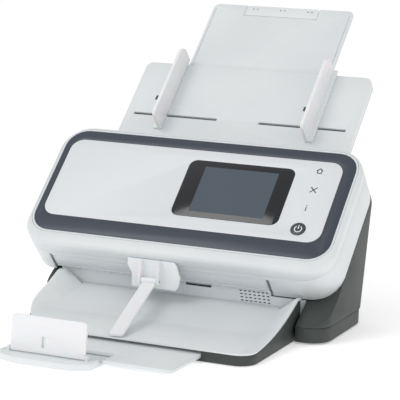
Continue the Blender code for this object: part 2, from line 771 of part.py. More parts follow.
def make_cover_pins(cover):
    for side, u in hinge_sides():
        pin = rod((HINGE_V, -HINGE_W), HINGE_PIN_RADIUS, u - HINGE_PIN_HALF, u + HINGE_PIN_HALF)
        piece("cover_pin_" + side, pin, steel(), cover)


def make_upper_scanner(cover):
    near = pod_path(GLASS_V + GLASS_HIGH) - GLASS_THICK
    glass = [-GLASS_HALF, GLASS_HALF, GLASS_V - GLASS_HIGH, GLASS_V + GLASS_HIGH]
    piece("upper_scan_glass", depth_block(*glass, near, near + GLASS_THICK), scan_glass(), cover)
    piece("upper_sensor_bar", depth_block(*glass, near - GAP - SENSOR_DEEP, near - GAP), black_plastic(),
          cover)


def make_separation_roller(roller):
    centre = (FEED_V, -(nip(FEED_V) - GAP / 2 - FEED_RADIUS))
    made = piece("separation_roller", rod(centre, FEED_RADIUS, -TYRE_OUTER, TYRE_OUTER), rubber(), roller)
    half = TYRE_OUTER + RUN + LUG_THICK * 2
    join(made, "axle", rod(centre, AXLE_RADIUS, -half, half))


def make_release_button(release):
    shape = depth_block(RELEASE_LEFT, RELEASE_RIGHT, POD_HIGH - RELEASE_DEEP, POD_HIGH, RELEASE_LOW_W,
                        RELEASE_HIGH_W)
    piece("release_button", shape, grey_plastic(), release)


# The output guide and the hold-down arm

def make_output_guide(cover):
    top = BRACKET_TOP
    outline = [(BRACKET_LOW_LEFT, BRACKET_BOTTOM), (BRACKET_LOW_RIGHT - BRACKET_ROUND, BRACKET_BOTTOM),
               (BRACKET_LOW_RIGHT, BRACKET_BOTTOM + BRACKET_ROUND), (BRACKET_WING, BRACKET_SHOULDER),
               (BRACKET_WING - BRACKET_ROUND / 2, BRACKET_SHOULDER + BRACKET_ROUND),
               (BRACKET_RIGHT, top - BRACKET_ROUND), (BRACKET_RIGHT - BRACKET_ROUND, top),
               (BRACKET_LEFT, top),
               (BRACKET_LEFT, top - ARM_WIDTH / 2), (BRACKET_LOW_LEFT, BRACKET_SHOULDER)]
    plate = prism(outline, BRACKET_Y, BRACKET_Y + BRACKET_THICK, "Y")
    made = piece("output_guide", plate, frosted_plastic(), cover, BASE)
    for index, x in enumerate((BRACKET_COLUMN_LEFT, BRACKET_COLUMN_RIGHT - CHEEK_THICK)):
        cheek = block((x, ARM_PIVOT_Y - ARM_EYE_RADIUS, ARM_PIVOT_Z - ARM_EYE_RADIUS),
                      (x + CHEEK_THICK, BRACKET_Y + GAP, top))
        join(made, f"cheek_{index}", cheek, BASE)
    cut(made, "bore", rod((ARM_PIVOT_Y, ARM_PIVOT_Z), ARM_PIN_RADIUS + PIN_PLAY,
                          BRACKET_COLUMN_LEFT - OVERRUN, BRACKET_COLUMN_RIGHT + OVERRUN), BASE)
    return made


def make_hold_down_arm(arm, world):
    inner = BRACKET_COLUMN_LEFT + CHEEK_THICK + RUN
    outer = BRACKET_COLUMN_RIGHT - CHEEK_THICK - RUN
    made = piece("hold_down_arm", rod((ARM_PIVOT_Y, ARM_PIVOT_Z), ARM_EYE_RADIUS, inner, outer),
                 frosted_plastic(),
                 arm, BASE)
    middle = (inner + outer) / 2
    outline = rounded(-ARM_WIDTH / 2, ARM_WIDTH / 2, -ARM_LONG, 0, [ARM_WIDTH / 4, ARM_WIDTH / 4, 0, 0])
    blade = prism(outline, -ARM_EYE_RADIUS, -ARM_EYE_RADIUS + ARM_THICK, "Z")
    swing = (BASE @ Matrix.Translation((middle, ARM_PIVOT_Y, ARM_PIVOT_Z)) @ Matrix.Rotation(ARM_DROP, 4, "X")
             @ Matrix.Rotation(ARM_SIDE, 4, "Z"))
    join(made, "blade", blade, swing)
    cut(made, "bore", rod((ARM_PIVOT_Y, ARM_PIVOT_Z), ARM_PIN_RADIUS + PIN_PLAY, inner - OVERRUN,
                          outer + OVERRUN), BASE)


def make_arm_pin(cover):
    pin = rod((ARM_PIVOT_Y, ARM_PIVOT_Z), ARM_PIN_RADIUS, BRACKET_COLUMN_LEFT, BRACKET_COLUMN_RIGHT)
    piece("arm_pin", pin, steel(), cover, BASE)


# The base

def leaning_plan(inset, bottom, top):
    """The base's plan with round rear corners, carried up with the lean of the rear wall."""
    outline = rounded(BASE_LEFT + inset, BASE_RIGHT - inset, BASE_FRONT + inset, BASE_REAR - inset,
                      [BASE_CORNER - inset] * 4)
    shape = prism(outline, bottom, top, "Z")
    for vertex in shape.verts:
        if vertex.co.y > BASE_REAR / 2:
            vertex.co.y += REAR_LEAN_SHARE * vertex.co.z
    return shape


def housing_solid(name, inset, base):
    """The housing's outer form, or its inner one set in by a wall and open below."""
    drop = 0.0 if inset == 0.0 else OVERRUN
    foot = BASE_SEAM + GAP
    slope_in = inset * math.sqrt(2)
    meet_y, meet_z = face_yz(CHEEK_MEET_V, HOUSING_PLANE)
    top_y, top_z = face_yz(POD_HIGH, HOUSING_PLANE)
    far = BASE_REAR * 3
    profile = [(BASE_FRONT + slope_in, foot - drop), (CHEEK_TOP_Y + slope_in, CHEEK_TOP_Z),
               (meet_y + slope_in, meet_z), (top_y + slope_in + inset, top_z), (far, top_z),
               (far, foot - drop)]
    made = tool(name, prism(profile, BASE_LEFT, BASE_RIGHT, "X"), base, BASE)
    keep(made, "plan", leaning_plan(inset, -OVERRUN, POD_HALF), BASE)
    low = POD_LOW - POD_HALF
    outline = rounded(BASE_LEFT + inset, BASE_RIGHT - inset, low, POD_HIGH - inset,
                      [0, 0, POD_CORNER, BASE_CROWN_LEFT])
    keep(made, "crown", depth_prism(outline, 0, POD_HALF), FACE)
    return made


def make_rear_housing(base):
    inner = housing_solid("housing_inner", WALL, base)
    housing = housing_solid("housing_outer", 0.0, base)
    housing.name = "rear_housing"
    housing.data.name = "rear_housing"
    housing.hide_render = False
    housing.display_type = "TEXTURED"
    housing.data.materials.append(dark_plastic())
    housing.data.shade_smooth()
    housing.data.set_sharp_from_angle(angle=math.radians(35))
    PLACES["rear_housing"] = BASE
    top = face_yz(CHEEK_MEET_V, HOUSING_PLANE)[1] + GAP
    walls = block((BAY_LEFT - WALL, BASE_FRONT - OVERRUN, 0), (BAY_RIGHT + WALL, BAY_REAR, top))
    combine(inner, tool("housing_bay_walls", walls, base, BASE), "DIFFERENCE")
    combine(housing, inner, "DIFFERENCE")
    cut(housing, "bay", block((BAY_LEFT, BASE_FRONT - OVERRUN, 0), (BAY_RIGHT, BAY_REAR, top)), BASE)
    cut(housing, "window", depth_block(-WINDOW_HALF, WINDOW_HALF, POD_LOW, GUIDE_STEP_V + GAP,
                                       HOUSING_PLANE - OVERRUN, HOUSING_PLANE + WALL + OVERRUN))
    cut(housing, "heel", depth_block(-GUIDE_HALF - GAP, GUIDE_HALF + GAP, POD_LOW - OVERRUN,
                                     GLASS_V + GLASS_HIGH + WALL, HOUSING_PLANE - OVERRUN,
                                     HOUSING_PLANE + WALL + OVERRUN))
    for side, u in hinge_sides():
        half = HINGE_PLATE_THICK / 2 + GAP
        cut(housing, "slot_" + side, depth_block(u - half, u + half, POD_LOW - OVERRUN, HINGE_V + POD_SEAM,
                                                 HOUSING_PLANE - OVERRUN, HOUSING_PLANE + WALL + OVERRUN))
    for sign in (-1, 1):
        near = sign * (TRAY_HALF + RUN)
        low, high = sorted((near, near + sign * EAR_THICK))
        under = POD_HIGH + EAR_CLEAR
        ear = [(under, EAR_FRONT_W), (EAR_HIGH_V, EAR_FRONT_W), (EAR_HIGH_V, EAR_BACK_W),
               (EAR_FOOT_V, EAR_BACK_W),
               (EAR_FOOT_V, HOUSING_PLANE + WALL / 2), (under, HOUSING_PLANE + WALL / 2)]
        join(housing, f"ear_{sign}", side_prism(ear, low, high), FACE)
        cut(housing, f"ear_bore_{sign}", rod((TRAY_HINGE_V, -TRAY_HINGE_W), TRAY_PIN_RADIUS + PIN_PLAY,
                                             low - OVERRUN, high + OVERRUN), FACE)
    for name, x, width, height in ports():
        grow = PORT_WALL + GAP
        cut(housing, name, block((x - width / 2 - grow, BASE_REAR - SOCKET_DEEP, PORT_Z - height / 2 - grow),
                                 (x + width / 2 + grow, BASE_REAR + SOCKET_DEEP,
                                  PORT_Z + height / 2 + grow)), BASE)
    return housing


def ports():
    return (("power_inlet", SOCKET_X, SOCKET_WIDTH, SOCKET_HEIGHT),
            ("usb_port", USB_X, USB_WIDTH, USB_HEIGHT))


def make_ports(base):
    wall_y = BASE_REAR + REAR_LEAN_SHARE * PORT_Z
    deep = {"power_inlet": SOCKET_DEEP, "usb_port": USB_DEEP}
    for name, x, width, height in ports():
        outer = block((x - width / 2 - PORT_WALL, wall_y - deep[name], PORT_Z - height / 2 - PORT_WALL),
                      (x + width / 2 + PORT_WALL, wall_y - GAP, PORT_Z + height / 2 + PORT_WALL))
        made = piece(name, outer, black_plastic(), base, BASE)
        cut(made, "mouth", block((x - width / 2, wall_y - deep[name] + PORT_WALL, PORT_Z - height / 2),
                                 (x + width / 2, wall_y + OVERRUN, PORT_Z + height / 2)), BASE)
        leg = block((x - width / 2 - PORT_WALL, wall_y - deep[name], FOOT_HEIGHT + BASE_FLOOR + GAP),
                    (x + width / 2 + PORT_WALL, wall_y - deep[name] + PORT_WALL, PORT_Z))
        join(made, "leg", leg, BASE)


def make_base_pan(base):
    outline = rounded(BASE_LEFT, BASE_RIGHT, BASE_FRONT, BASE_REAR, [BASE_CORNER] * 4)
    pan = piece("base_pan", prism(outline, FOOT_HEIGHT, BASE_SEAM, "Z"), dark_plastic(), base, BASE)
    inner = rounded(BASE_LEFT + WALL, BASE_RIGHT - WALL, BASE_FRONT + WALL, BASE_REAR - WALL,
                    [BASE_CORNER - WALL] * 4)
    cavity = cut(pan, "cavity", prism(inner, FOOT_HEIGHT + BASE_FLOOR, BASE_SEAM + OVERRUN, "Z"), BASE)
    bay_back = SHELL_BACK + GAP
    hollow = block((BAY_LEFT - WALL, BASE_FRONT - OVERRUN, 0),
                   (BAY_RIGHT + WALL, bay_back + WALL, BASE_SEAM * 2))
    combine(cavity, tool("cavity_bay", hollow, base, BASE), "DIFFERENCE")
    cut(pan, "bay", block((BAY_LEFT, BASE_FRONT - OVERRUN, 0), (BAY_RIGHT, bay_back, BASE_SEAM * 2)), BASE)
    return pan


def make_feet(base):
    front = SHELL_BACK + GAP + WALL + FOOT_RADIUS
    for end, y in (("front", front), ("rear", BASE_REAR - FOOT_INSET)):
        for side, x in (("left", BASE_LEFT + FOOT_INSET), ("right", BASE_RIGHT - FOOT_INSET)):
            piece(f"foot_{end}_{side}", rod((x, y), FOOT_RADIUS, 0, FOOT_HEIGHT, "Z"), rubber(), base, BASE)


def make_hinge_plates(base):
    pivot_y, pivot_z = face_yz(HINGE_V, HINGE_W)
    floor = FOOT_HEIGHT + BASE_FLOOR + GAP
    back = BAY_REAR + HINGE_EYE_RADIUS * 2
    for side, u in hinge_sides():
        half = HINGE_PLATE_THICK / 2
        neck = [face_yz(HINGE_V - HINGE_EYE_RADIUS, HINGE_W),
                face_yz(HINGE_V - HINGE_EYE_RADIUS, HOUSING_PLANE),
                (BAY_REAR, EXIT_BOTTOM), (BAY_REAR, floor), (back, floor),
                face_yz(HINGE_V + HINGE_EYE_RADIUS, HOUSING_PLANE + HINGE_EYE_RADIUS * 2),
                face_yz(HINGE_V + HINGE_EYE_RADIUS, HINGE_W)]
        plate = piece("hinge_plate_" + side, prism(neck, u - half, u + half, "X"), steel(), base, BASE)
        join(plate, "eye", rod((pivot_y, pivot_z), HINGE_EYE_RADIUS, u - half, u + half), BASE)
        cut(plate, "bore", rod((pivot_y, pivot_z), HINGE_PIN_RADIUS + PIN_PLAY, u - half - OVERRUN,
                               u + half + OVERRUN), BASE)


def guide_profile():
    back = HOUSING_PLANE - GAP
    deep = GUIDE_LOW_W + GUIDE_THICK
    return [(GUIDE_TOP_V, GUIDE_TOP_W), (GUIDE_TOP_V, back), (GLASS_V + GLASS_HIGH + WALL - GAP, back),
            (GLASS_V + GLASS_HIGH + WALL - GAP, deep), (GUIDE_LOW_V, deep), (GUIDE_LOW_V, GUIDE_LOW_W),
            (PATH_MID_V, GUIDE_MID_W)]


def base_rollers():
    return (("feed_roller", FEED_V, FEED_RADIUS), ("drive_roller", DRIVE_V, DRIVE_RADIUS),
            ("exit_roller", EXIT_V, EXIT_RADIUS))


def roller_centre(v, radius):
    return (v, -(nip(v) + GAP / 2 + radius))


def make_paper_guide(base):
    guide = piece("paper_guide", side_prism(guide_profile(), -GUIDE_HALF, GUIDE_HALF), grey_plastic(), base)
    for name, v, radius in base_rollers():
        pocket = radius + ROLLER_POCKET
        cut(guide, "pocket_" + name, depth_block(-TYRE_OUTER - RUN, TYRE_OUTER + RUN, v - pocket, v + pocket,
                                                 GUIDE_TOP_W - OVERRUN, POD_BACK + POD_BACK))
        centre = roller_centre(v, radius)
        for sign in (-1, 1):
            u = sign * LUG_U
            lug = depth_block(u - LUG_THICK / 2, u + LUG_THICK / 2, v - AXLE_RADIUS * 2, v + AXLE_RADIUS * 2,
                              guide_path(v) + WALL / 2, -centre[1] + AXLE_RADIUS * 2)
            join(guide, f"lug_{name}_{sign}", lug)
        cut(guide, "axle_" + name, rod(centre, AXLE_RADIUS + PIN_PLAY, -LUG_U - LUG_THICK, LUG_U + LUG_THICK))
    cut(guide, "glass", depth_block(-GLASS_HALF - GAP, GLASS_HALF + GAP, GLASS_V - GLASS_HIGH - GAP,
                                    GLASS_V + GLASS_HIGH + GAP, GUIDE_TOP_W, POD_BACK + POD_BACK))
    half = HINGE_PLATE_THICK / 2 + GAP
    cut(guide, "hinge", depth_block(HINGE_PLATE_RIGHT - half, HINGE_PLATE_RIGHT + half, GUIDE_LOW_V - OVERRUN,
                                    HINGE_V + HINGE_EYE_RADIUS + RUN, GUIDE_TOP_W, POD_BACK + POD_BACK))
    return guide


def make_lower_scanner(base):
    near = guide_path(GLASS_V - GLASS_HIGH)
    glass = [-GLASS_HALF, GLASS_HALF, GLASS_V - GLASS_HIGH, GLASS_V + GLASS_HIGH]
    piece("lower_scan_glass", depth_block(*glass, near, near + GLASS_THICK), scan_glass(), base)
    piece("lower_sensor_bar", depth_block(*glass, near + GLASS_THICK + GAP,
                                          near + GLASS_THICK + GAP + SENSOR_DEEP),
          black_plastic(), base)


def make_roller(name, v, radius, roller):
    centre = roller_centre(v, radius)
    made = piece(name, rod(centre, radius, -TYRE_OUTER, TYRE_OUTER), rubber(), roller)
    half = LUG_U + LUG_THICK / 2 + GAP
    join(made, "axle", rod(centre, AXLE_RADIUS, -half, half))


def make_exit_panel(base):
    left = BAY_LEFT + RUN
    right = BAY_RIGHT - RUN
    outline = [(left, EXIT_BOTTOM), (right, EXIT_BOTTOM), (right, EXIT_SIDE_TOP),
               (EXIT_STEP_X, EXIT_SIDE_TOP),
               (EXIT_STEP_X, EXIT_TOP), (left, EXIT_TOP)]
    made = piece("exit_panel", prism(outline, EXIT_Y, EXIT_Y + EXIT_THICK, "Y"), grey_plastic(), base, BASE)
    shelf_y, shelf_z = face_yz(EXIT_SHELF_V, EXIT_SHELF_W)
    shelf = [(EXIT_Y + EXIT_THICK / 2, EXIT_TOP), (EXIT_Y + EXIT_THICK / 2, EXIT_TOP - EXIT_SHELF_THICK),
             (shelf_y, shelf_z - EXIT_SHELF_THICK), (shelf_y, shelf_z)]
    join(made, "shelf", prism(shelf, -GUIDE_HALF + RUN, EXIT_STEP_X, "X"), BASE)
    window = block((EXIT_WINDOW_LEFT, EXIT_Y - OVERRUN, EXIT_WINDOW_LOW),
                   (EXIT_WINDOW_RIGHT, EXIT_Y + EXIT_THICK + OVERRUN, EXIT_TOP + OVERRUN))
    cut(made, "window", window, BASE)
    for row in range(GRILLE_ROWS):
        for column in range(GRILLE_COLUMNS):
            x = GRILLE_LEFT + column * GRILLE_PITCH_X + row * GRILLE_STAGGER
            z = GRILLE_TOP - row * GRILLE_PITCH_Z
            slot = block((x, EXIT_Y - OVERRUN, z),
                         (x + GRILLE_SLOT_LONG, EXIT_Y + EXIT_THICK + OVERRUN, z + GRILLE_SLOT_HIGH))
            cut(made, f"slot_{row}_{column}", slot, BASE)


def make_speaker(base):
    x = GRILLE_LEFT + GRILLE_COLUMNS * GRILLE_PITCH_X / 2
    near = EXIT_Y + EXIT_THICK + GAP
    drum = rod((x, SPEAKER_Z), SPEAKER_RADIUS, near, near + SPEAKER_DEEP, "Y")
    piece("speaker", drum, black_plastic(), base, BASE)


def make_drive_motor(base):
    """A stepping motor with its shaft, on a foot that stands in the pan."""
    can = rod((MOTOR_Y, MOTOR_Z), MOTOR_RADIUS, MOTOR_X, MOTOR_X + MOTOR_LONG)
    made = piece("drive_motor", can, steel(), base, BASE)
    floor = FOOT_HEIGHT + BASE_FLOOR + GAP
    half = MOTOR_RADIUS - WALL
    foot = block((MOTOR_X - WALL, MOTOR_Y - half, floor), (MOTOR_X + WALL, MOTOR_Y + half, MOTOR_Z))
    join(made, "foot", foot, BASE)
    join(made, "shaft", rod((MOTOR_Y, MOTOR_Z), STEM_RADIUS, MOTOR_X - SHAFT_LONG, MOTOR_X + WALL, "X", 12),
         BASE)


def make_main_board(base):
    board = piece("main_board", block((BOARD_LEFT, BOARD_FRONT, BOARD_Z),
                                      (BOARD_RIGHT, BOARD_BACK, BOARD_Z + BOARD_THICK)),
                  board_green(), base, BASE)
    for ix, x in enumerate((BOARD_LEFT + POST_INSET, BOARD_RIGHT - POST_INSET)):
        for iy, y in enumerate((BOARD_FRONT + POST_INSET, BOARD_BACK - POST_INSET)):
            join(board, f"post_{ix}_{iy}", rod((x, y), POST_RADIUS, FOOT_HEIGHT + BASE_FLOOR + GAP,
                                               BOARD_Z + BOARD_THICK / 2, "Z", 12), BASE)


# The input tray

def make_input_tray(tray):
    outline = rounded(-TRAY_HALF, TRAY_HALF, TRAY_LOW_V, TRAY_HIGH_V,
                      [TRAY_CORNER / 2, TRAY_CORNER / 2, TRAY_CORNER, TRAY_CORNER])
    made = piece("input_tray", depth_prism(outline, TRAY_W, SKIRT_W), white_plastic(), tray)
    inner = rounded(-TRAY_HALF + WALL, TRAY_HALF - WALL, TRAY_LOW_V + WALL, TRAY_HIGH_V - WALL, [WALL] * 4)
    cut(made, "cavity", depth_prism(inner, TRAY_W + TRAY_THICK, SKIRT_W + OVERRUN))
    cut(made, "mouth", depth_block(-EXT_HALF - RUN, EXT_HALF + RUN, TRAY_HIGH_V - WALL - OVERRUN,
                                   TRAY_HIGH_V + OVERRUN,
                                   TRAY_W + TRAY_THICK, RACK_W))
    for sign in (-1, 1):
        low, high = sorted((sign * SLOT_INNER, sign * SLOT_OUTER))
        slot = rounded(low, high, SLOT_V - SLOT_HALF, SLOT_V + SLOT_HALF, [SLOT_HALF - GAP / 10] * 4)
        cut(made, f"slot_{sign}", depth_prism(slot, TRAY_W - OVERRUN, TRAY_W + TRAY_THICK + OVERRUN))
        low, high = sorted((sign * TRAY_PIN_INNER, sign * (TRAY_HALF - WALL / 2)))
        boss = depth_block(low, high, TRAY_LOW_V + WALL / 2, TRAY_HINGE_V + TRAY_PIN_RADIUS * 2,
                           TRAY_W + TRAY_THICK / 2, SKIRT_W)
        join(made, f"boss_{sign}", boss)
        rib_low, rib_high = sorted((sign * (EXT_HALF + RUN), sign * (EXT_HALF + RUN + WALL)))
        rib = depth_block(rib_low, rib_high, TONGUE_LOW_V, TRAY_HIGH_V - WALL / 2, TRAY_W + TRAY_THICK / 2,
                          RACK_W - GAP)
        join(made, f"rib_{sign}", rib)
        low, high = sorted((sign * TRAY_PIN_INNER, sign * (TRAY_HALF + OVERRUN)))
        cut(made, f"bore_{sign}", rod((TRAY_HINGE_V, -TRAY_HINGE_W), TRAY_PIN_RADIUS + PIN_PLAY, low, high))
    return made


def make_tray_cover(tray):
    outline = rounded(-TRAY_HALF, TRAY_HALF, TRAY_LOW_V + TRAY_PIN_RADIUS * 4, TRAY_HIGH_V,
                      [TRAY_CORNER / 2, TRAY_CORNER / 2, TRAY_CORNER, TRAY_CORNER])
    cover = piece("tray_back_cover", depth_prism(outline, COVER_W, COVER_W + TRAY_COVER_THICK),
                  white_plastic(), tray)
    join(cover, "spindle", rod((0, SLOT_V), PINION_BORE - PIN_PLAY, -COVER_W - GAP, -RACK_W + GAP, "Z"))


def make_tray_pins(tray):
    for side, sign in (("left", -1), ("right", 1)):
        low, high = sorted((sign * (TRAY_PIN_INNER + GAP), sign * (TRAY_HALF + RUN + EAR_THICK)))
        piece("tray_pin_" + side, rod((TRAY_HINGE_V, -TRAY_HINGE_W), TRAY_PIN_RADIUS, low, high), steel(),
              tray)


def rack_outline(reach_low, reach_high, side):
    """A rack bar's outline beside the pinion; side is 1 for the bar above it and -1 for the one below."""
    pitch = math.pi * GEAR_MODULE
    line = side * PINION_RADIUS
    root = line + side * GEAR_DEDENDUM_SHARE * GEAR_MODULE
    tip = line - side * GEAR_ADDENDUM_SHARE * GEAR_MODULE
    back = root + side * RACK_BODY
    points = [(reach_low, SLOT_V + back), (reach_low, SLOT_V + root)]
    first = math.ceil(reach_low / pitch)
    last = math.floor(reach_high / pitch)
    for count in range(first, last):
        middle = (count + 0.5) * pitch
        for share, level in ((-TOOTH_ROOT_SHARE, root), (-TOOTH_TIP_SHARE, tip), (TOOTH_TIP_SHARE, tip),
                             (TOOTH_ROOT_SHARE, root)):
            points.append((middle + share * pitch, SLOT_V + level))
    points += [(reach_high, SLOT_V + root), (reach_high, SLOT_V + back)]
    return points


def make_side_guide(name, sign, guide):
    low, high = sorted((sign * SIDE_GUIDE_FACE, sign * (SIDE_GUIDE_FACE + SIDE_GUIDE_THICK)))
    top = TRAY_W - SIDE_GUIDE_TALL
    foot = TRAY_W - GAP
    round_w = SIDE_GUIDE_ROUND
    profile = [(SIDE_GUIDE_LOW_V, foot), (SIDE_GUIDE_HIGH_V, foot)]
    profile += [(SIDE_GUIDE_HIGH_V - round_w + round_w * math.cos(math.radians(turn)),
                 top + round_w - round_w * math.sin(math.radians(turn))) for turn in range(0, 91, 15)]
    profile += [(SIDE_GUIDE_LOW_V + WALL, top), (SIDE_GUIDE_LOW_V, top + WALL)]
    made = piece(name, side_prism(profile, low, high), frosted_plastic(), guide)
    low, high = sorted((sign * SIDE_GUIDE_FACE, sign * (SIDE_GUIDE_FACE + SIDE_FOOT_WIDTH)))
    flange = depth_block(low, high, SIDE_GUIDE_LOW_V + RUN, SIDE_GUIDE_HIGH_V - RUN, foot - SIDE_FOOT_THICK,
                         foot)
    join(made, "flange", flange)
    stem = depth_block(low + GAP, high - GAP, SLOT_V - SIDE_STEM_HALF, SLOT_V + SIDE_STEM_HALF,
                       foot - OVERRUN,
                       RACK_W + RACK_THICK / 2)
    join(made, "stem", stem)
    carrier_v = PINION_RADIUS + GEAR_DEDENDUM_SHARE * GEAR_MODULE + RACK_BODY
    upper = -sign
    carrier_low, carrier_high = sorted((0.0, upper * carrier_v))
    carrier = depth_block(low, high, SLOT_V + carrier_low - SIDE_STEM_HALF,
                          SLOT_V + carrier_high + SIDE_STEM_HALF,
                          RACK_W, RACK_W + RACK_THICK)
    join(made, "carrier", carrier)
    start = sign * (SIDE_GUIDE_FACE + SIDE_FOOT_WIDTH / 2)
    reach_low, reach_high = sorted((start, start - sign * RACK_REACH))
    join(made, "rack", depth_prism(rack_outline(reach_low, reach_high, upper), RACK_W + GAP / 10,
                                   RACK_W + RACK_THICK - GAP / 10))


def pinion_outline():
    """Straight-flanked teeth, phased so that a tooth points at neither rack at rest."""
    pitch_turn = math.tau / PINION_TEETH
    root = PINION_RADIUS - GEAR_DEDENDUM_SHARE * GEAR_MODULE
    tip = PINION_RADIUS + GEAR_ADDENDUM_SHARE * GEAR_MODULE
    points = []
    for tooth in range(PINION_TEETH):
        middle = tooth * pitch_turn
        for share, radius in ((-TOOTH_ROOT_SHARE, root), (-TOOTH_TIP_SHARE, tip), (TOOTH_TIP_SHARE, tip),
                              (TOOTH_ROOT_SHARE, root)):
            turn = middle + share * pitch_turn
            points.append((radius * math.cos(turn), SLOT_V + radius * math.sin(turn)))
    return points


def make_guide_pinion(pinion):
    made = piece("guide_pinion", depth_prism(pinion_outline(), RACK_W, RACK_W + RACK_THICK), grey_plastic(),
                 pinion)
    cut(made, "bore", rod((0, SLOT_V), PINION_BORE, -RACK_W - RACK_THICK - OVERRUN, -RACK_W + OVERRUN, "Z"))


def make_input_extension(extension):
    outline = rounded(-EXT_HALF, EXT_HALF, EXT_LOW_V, EXT_HIGH_V, [GAP, GAP, EXT_CORNER, EXT_CORNER])
    made = piece("input_extension", depth_prism(outline, EXT_W, EXT_W + EXT_THICK), white_plastic(),
                 extension)
    join(made, "tongue", depth_block(-TONGUE_HALF, TONGUE_HALF, TONGUE_LOW_V, EXT_LOW_V + OVERRUN, EXT_W,
                                     EXT_W + EXT_THICK))
    for sign in (-1, 1):
        near = sign * (EXT_HALF - EXT_RIM_WIDTH)
        low, high = sorted((near, near - sign * EXT_GROOVE_WIDTH))
        groove = depth_block(low, high, EXT_LOW_V + EXT_CORNER, EXT_HIGH_V - EXT_CORNER, EXT_W - OVERRUN,
                             EXT_W + EXT_GROOVE_DEEP)
        cut(made, f"groove_{sign}", groove)
    cut(made, "tab", depth_block(TAB_LEFT - RUN, TAB_RIGHT + RUN, TAB_LOW_V - TAB_PLAY, EXT_HIGH_V + OVERRUN,
                                 EXT_W - OVERRUN, EXT_W + EXT_THICK + OVERRUN))
    bore = rod((TAB_PIVOT_V, -(EXT_W + EXT_THICK / 2)), TAB_PIN_RADIUS + PIN_PLAY,
               TAB_LEFT - RUN - TAB_PIN_LONG, TAB_RIGHT + RUN + TAB_PIN_LONG, "X", 12)
    cut(made, "bore", bore)


def make_flip_tab(tab):
    outline = rounded(TAB_LEFT, TAB_RIGHT, TAB_LOW_V, EXT_HIGH_V, [GAP, GAP, STOP_CORNER, STOP_CORNER])
    made = piece("flip_tab", depth_prism(outline, EXT_W + GAP / 2, EXT_W + EXT_THICK - GAP / 2),
                 white_plastic(), tab)
    long = TAB_PIN_LONG - GAP
    join(made, "pins", rod((TAB_PIVOT_V, -(EXT_W + EXT_THICK / 2)), TAB_PIN_RADIUS, TAB_LEFT - RUN - long,
                           TAB_RIGHT + RUN + long, "X", 12))


# The output tray

def tub_floor(y):
    rise = (y - TUB_BEND_Y) / (TUB_BACK - TUB_BEND_Y)
    return TUB_FLOOR_FRONT + max(rise, 0.0) * (TUB_FLOOR_BACK - TUB_FLOOR_FRONT)


def tub_rim(y):
    share = min(max((y - TUB_FRONT) / (TUB_RIM_TOP_Y - TUB_FRONT), 0.0), 1.0)
    return TUB_FLOOR_FRONT + (TUB_RIM_BACK - TUB_FLOOR_FRONT) * share ** TUB_RIM_POWER_SHARE


def tub_stations(front, back):
    """Stations along Y, with one at each bend of the floor and the rim."""
    places = [front + (back - front) * step / TUB_STATIONS for step in range(TUB_STATIONS + 1)]
    return sorted(places + [y for y in (TUB_BEND_Y, TUB_RIM_TOP_Y) if front < y < back])


def tub_slope(y):
    """How far the side wall leans out from the floor's edge to the rim."""
    share = (y - TUB_FRONT) / (TUB_BACK - TUB_FRONT)
    return TUB_SLOPE_FRONT + (TUB_SLOPE_BACK - TUB_SLOPE_FRONT) * share


def tub_side(rim_x, y):
    """The section's points on one side, from the floor's edge over the rim's lip and back below."""
    out = math.copysign(1, rim_x)
    floor = tub_floor(y)
    rim = max(tub_rim(y), floor)
    foot = rim_x - out * tub_slope(y)
    return [(foot, floor), (rim_x - out * TUB_LIP, rim), (rim_x, rim), (rim_x, rim - TUB_THICK),
            (rim_x - out * (TUB_LIP - TUB_THICK / 2), rim - TUB_THICK),
            (foot + out * TUB_THICK / 2, floor - TUB_THICK)]


def tub_section(y):
    return tub_side(TUB_RIM_RIGHT, y) + list(reversed(tub_side(TUB_RIM_LEFT, y)))


def tray_outline(margin, back):
    """The tray's plan: a tight corner at the right and a long elliptical sweep at the left."""
    left = TUB_RIM_LEFT - margin
    right = TUB_RIM_RIGHT + margin
    front = TUB_FRONT - margin
    centre_x = TUB_RIM_LEFT + TUB_SWEEP_X
    centre_y = TUB_FRONT + TUB_SWEEP_Y
    points = [(left, back)]
    for step in range(SWEEP_STEPS + 1):
        turn = math.pi + math.pi / 2 * step / SWEEP_STEPS
        points.append((centre_x + (TUB_SWEEP_X + margin) * math.cos(turn),
                       centre_y + (TUB_SWEEP_Y + margin) * math.sin(turn)))
    radius = TUB_CORNER + margin
    for step in range(ROUND_STEPS + 1):
        turn = math.pi * 3 / 2 + math.pi / 2 * step / ROUND_STEPS
        points.append((right - radius + radius * math.cos(turn), front + radius + radius * math.sin(turn)))
    return points + [(right, back)]


def loft(sections, stations):
    """Bridge closed sections of equal point count, set at stations along Y, and close both ends."""
    shape = bmesh.new()
    rings = [[shape.verts.new((x, y, z)) for x, z in section] for section, y in zip(sections, stations)]
    count = len(rings[0])
    for near, far in zip(rings, rings[1:]):
        for index in range(count):
            following = (index + 1) % count
            shape.faces.new((near[index], near[following], far[following], far[index]))
    shape.faces.new(rings[0])
    shape.faces.new(rings[-1])
    bmesh.ops.recalc_face_normals(shape, faces=shape.faces)
    return shape


def make_output_tray(base):
    stations = tub_stations(TUB_FRONT - OVERRUN, TUB_BACK)
    tub = piece("output_tray", loft([tub_section(y) for y in stations], stations), white_plastic(), base,
                BASE)
    keep(tub, "outline", prism(tray_outline(0.0, TUB_BACK + OVERRUN), -OVERRUN, POD_HALF, "Z"), BASE)
    for side, rim_x in (("left", TUB_RIM_LEFT), ("right", TUB_RIM_RIGHT)):
        out = math.copysign(1, rim_x)
        low, high = sorted((rim_x - out * (TUB_SLOPE_BACK - RUN), rim_x + out * OVERRUN))
        cut(tub, "end_" + side, block((low, TUB_WALL_BACK, 0), (high, TUB_BACK + OVERRUN, POD_HALF)), BASE)
    return tub


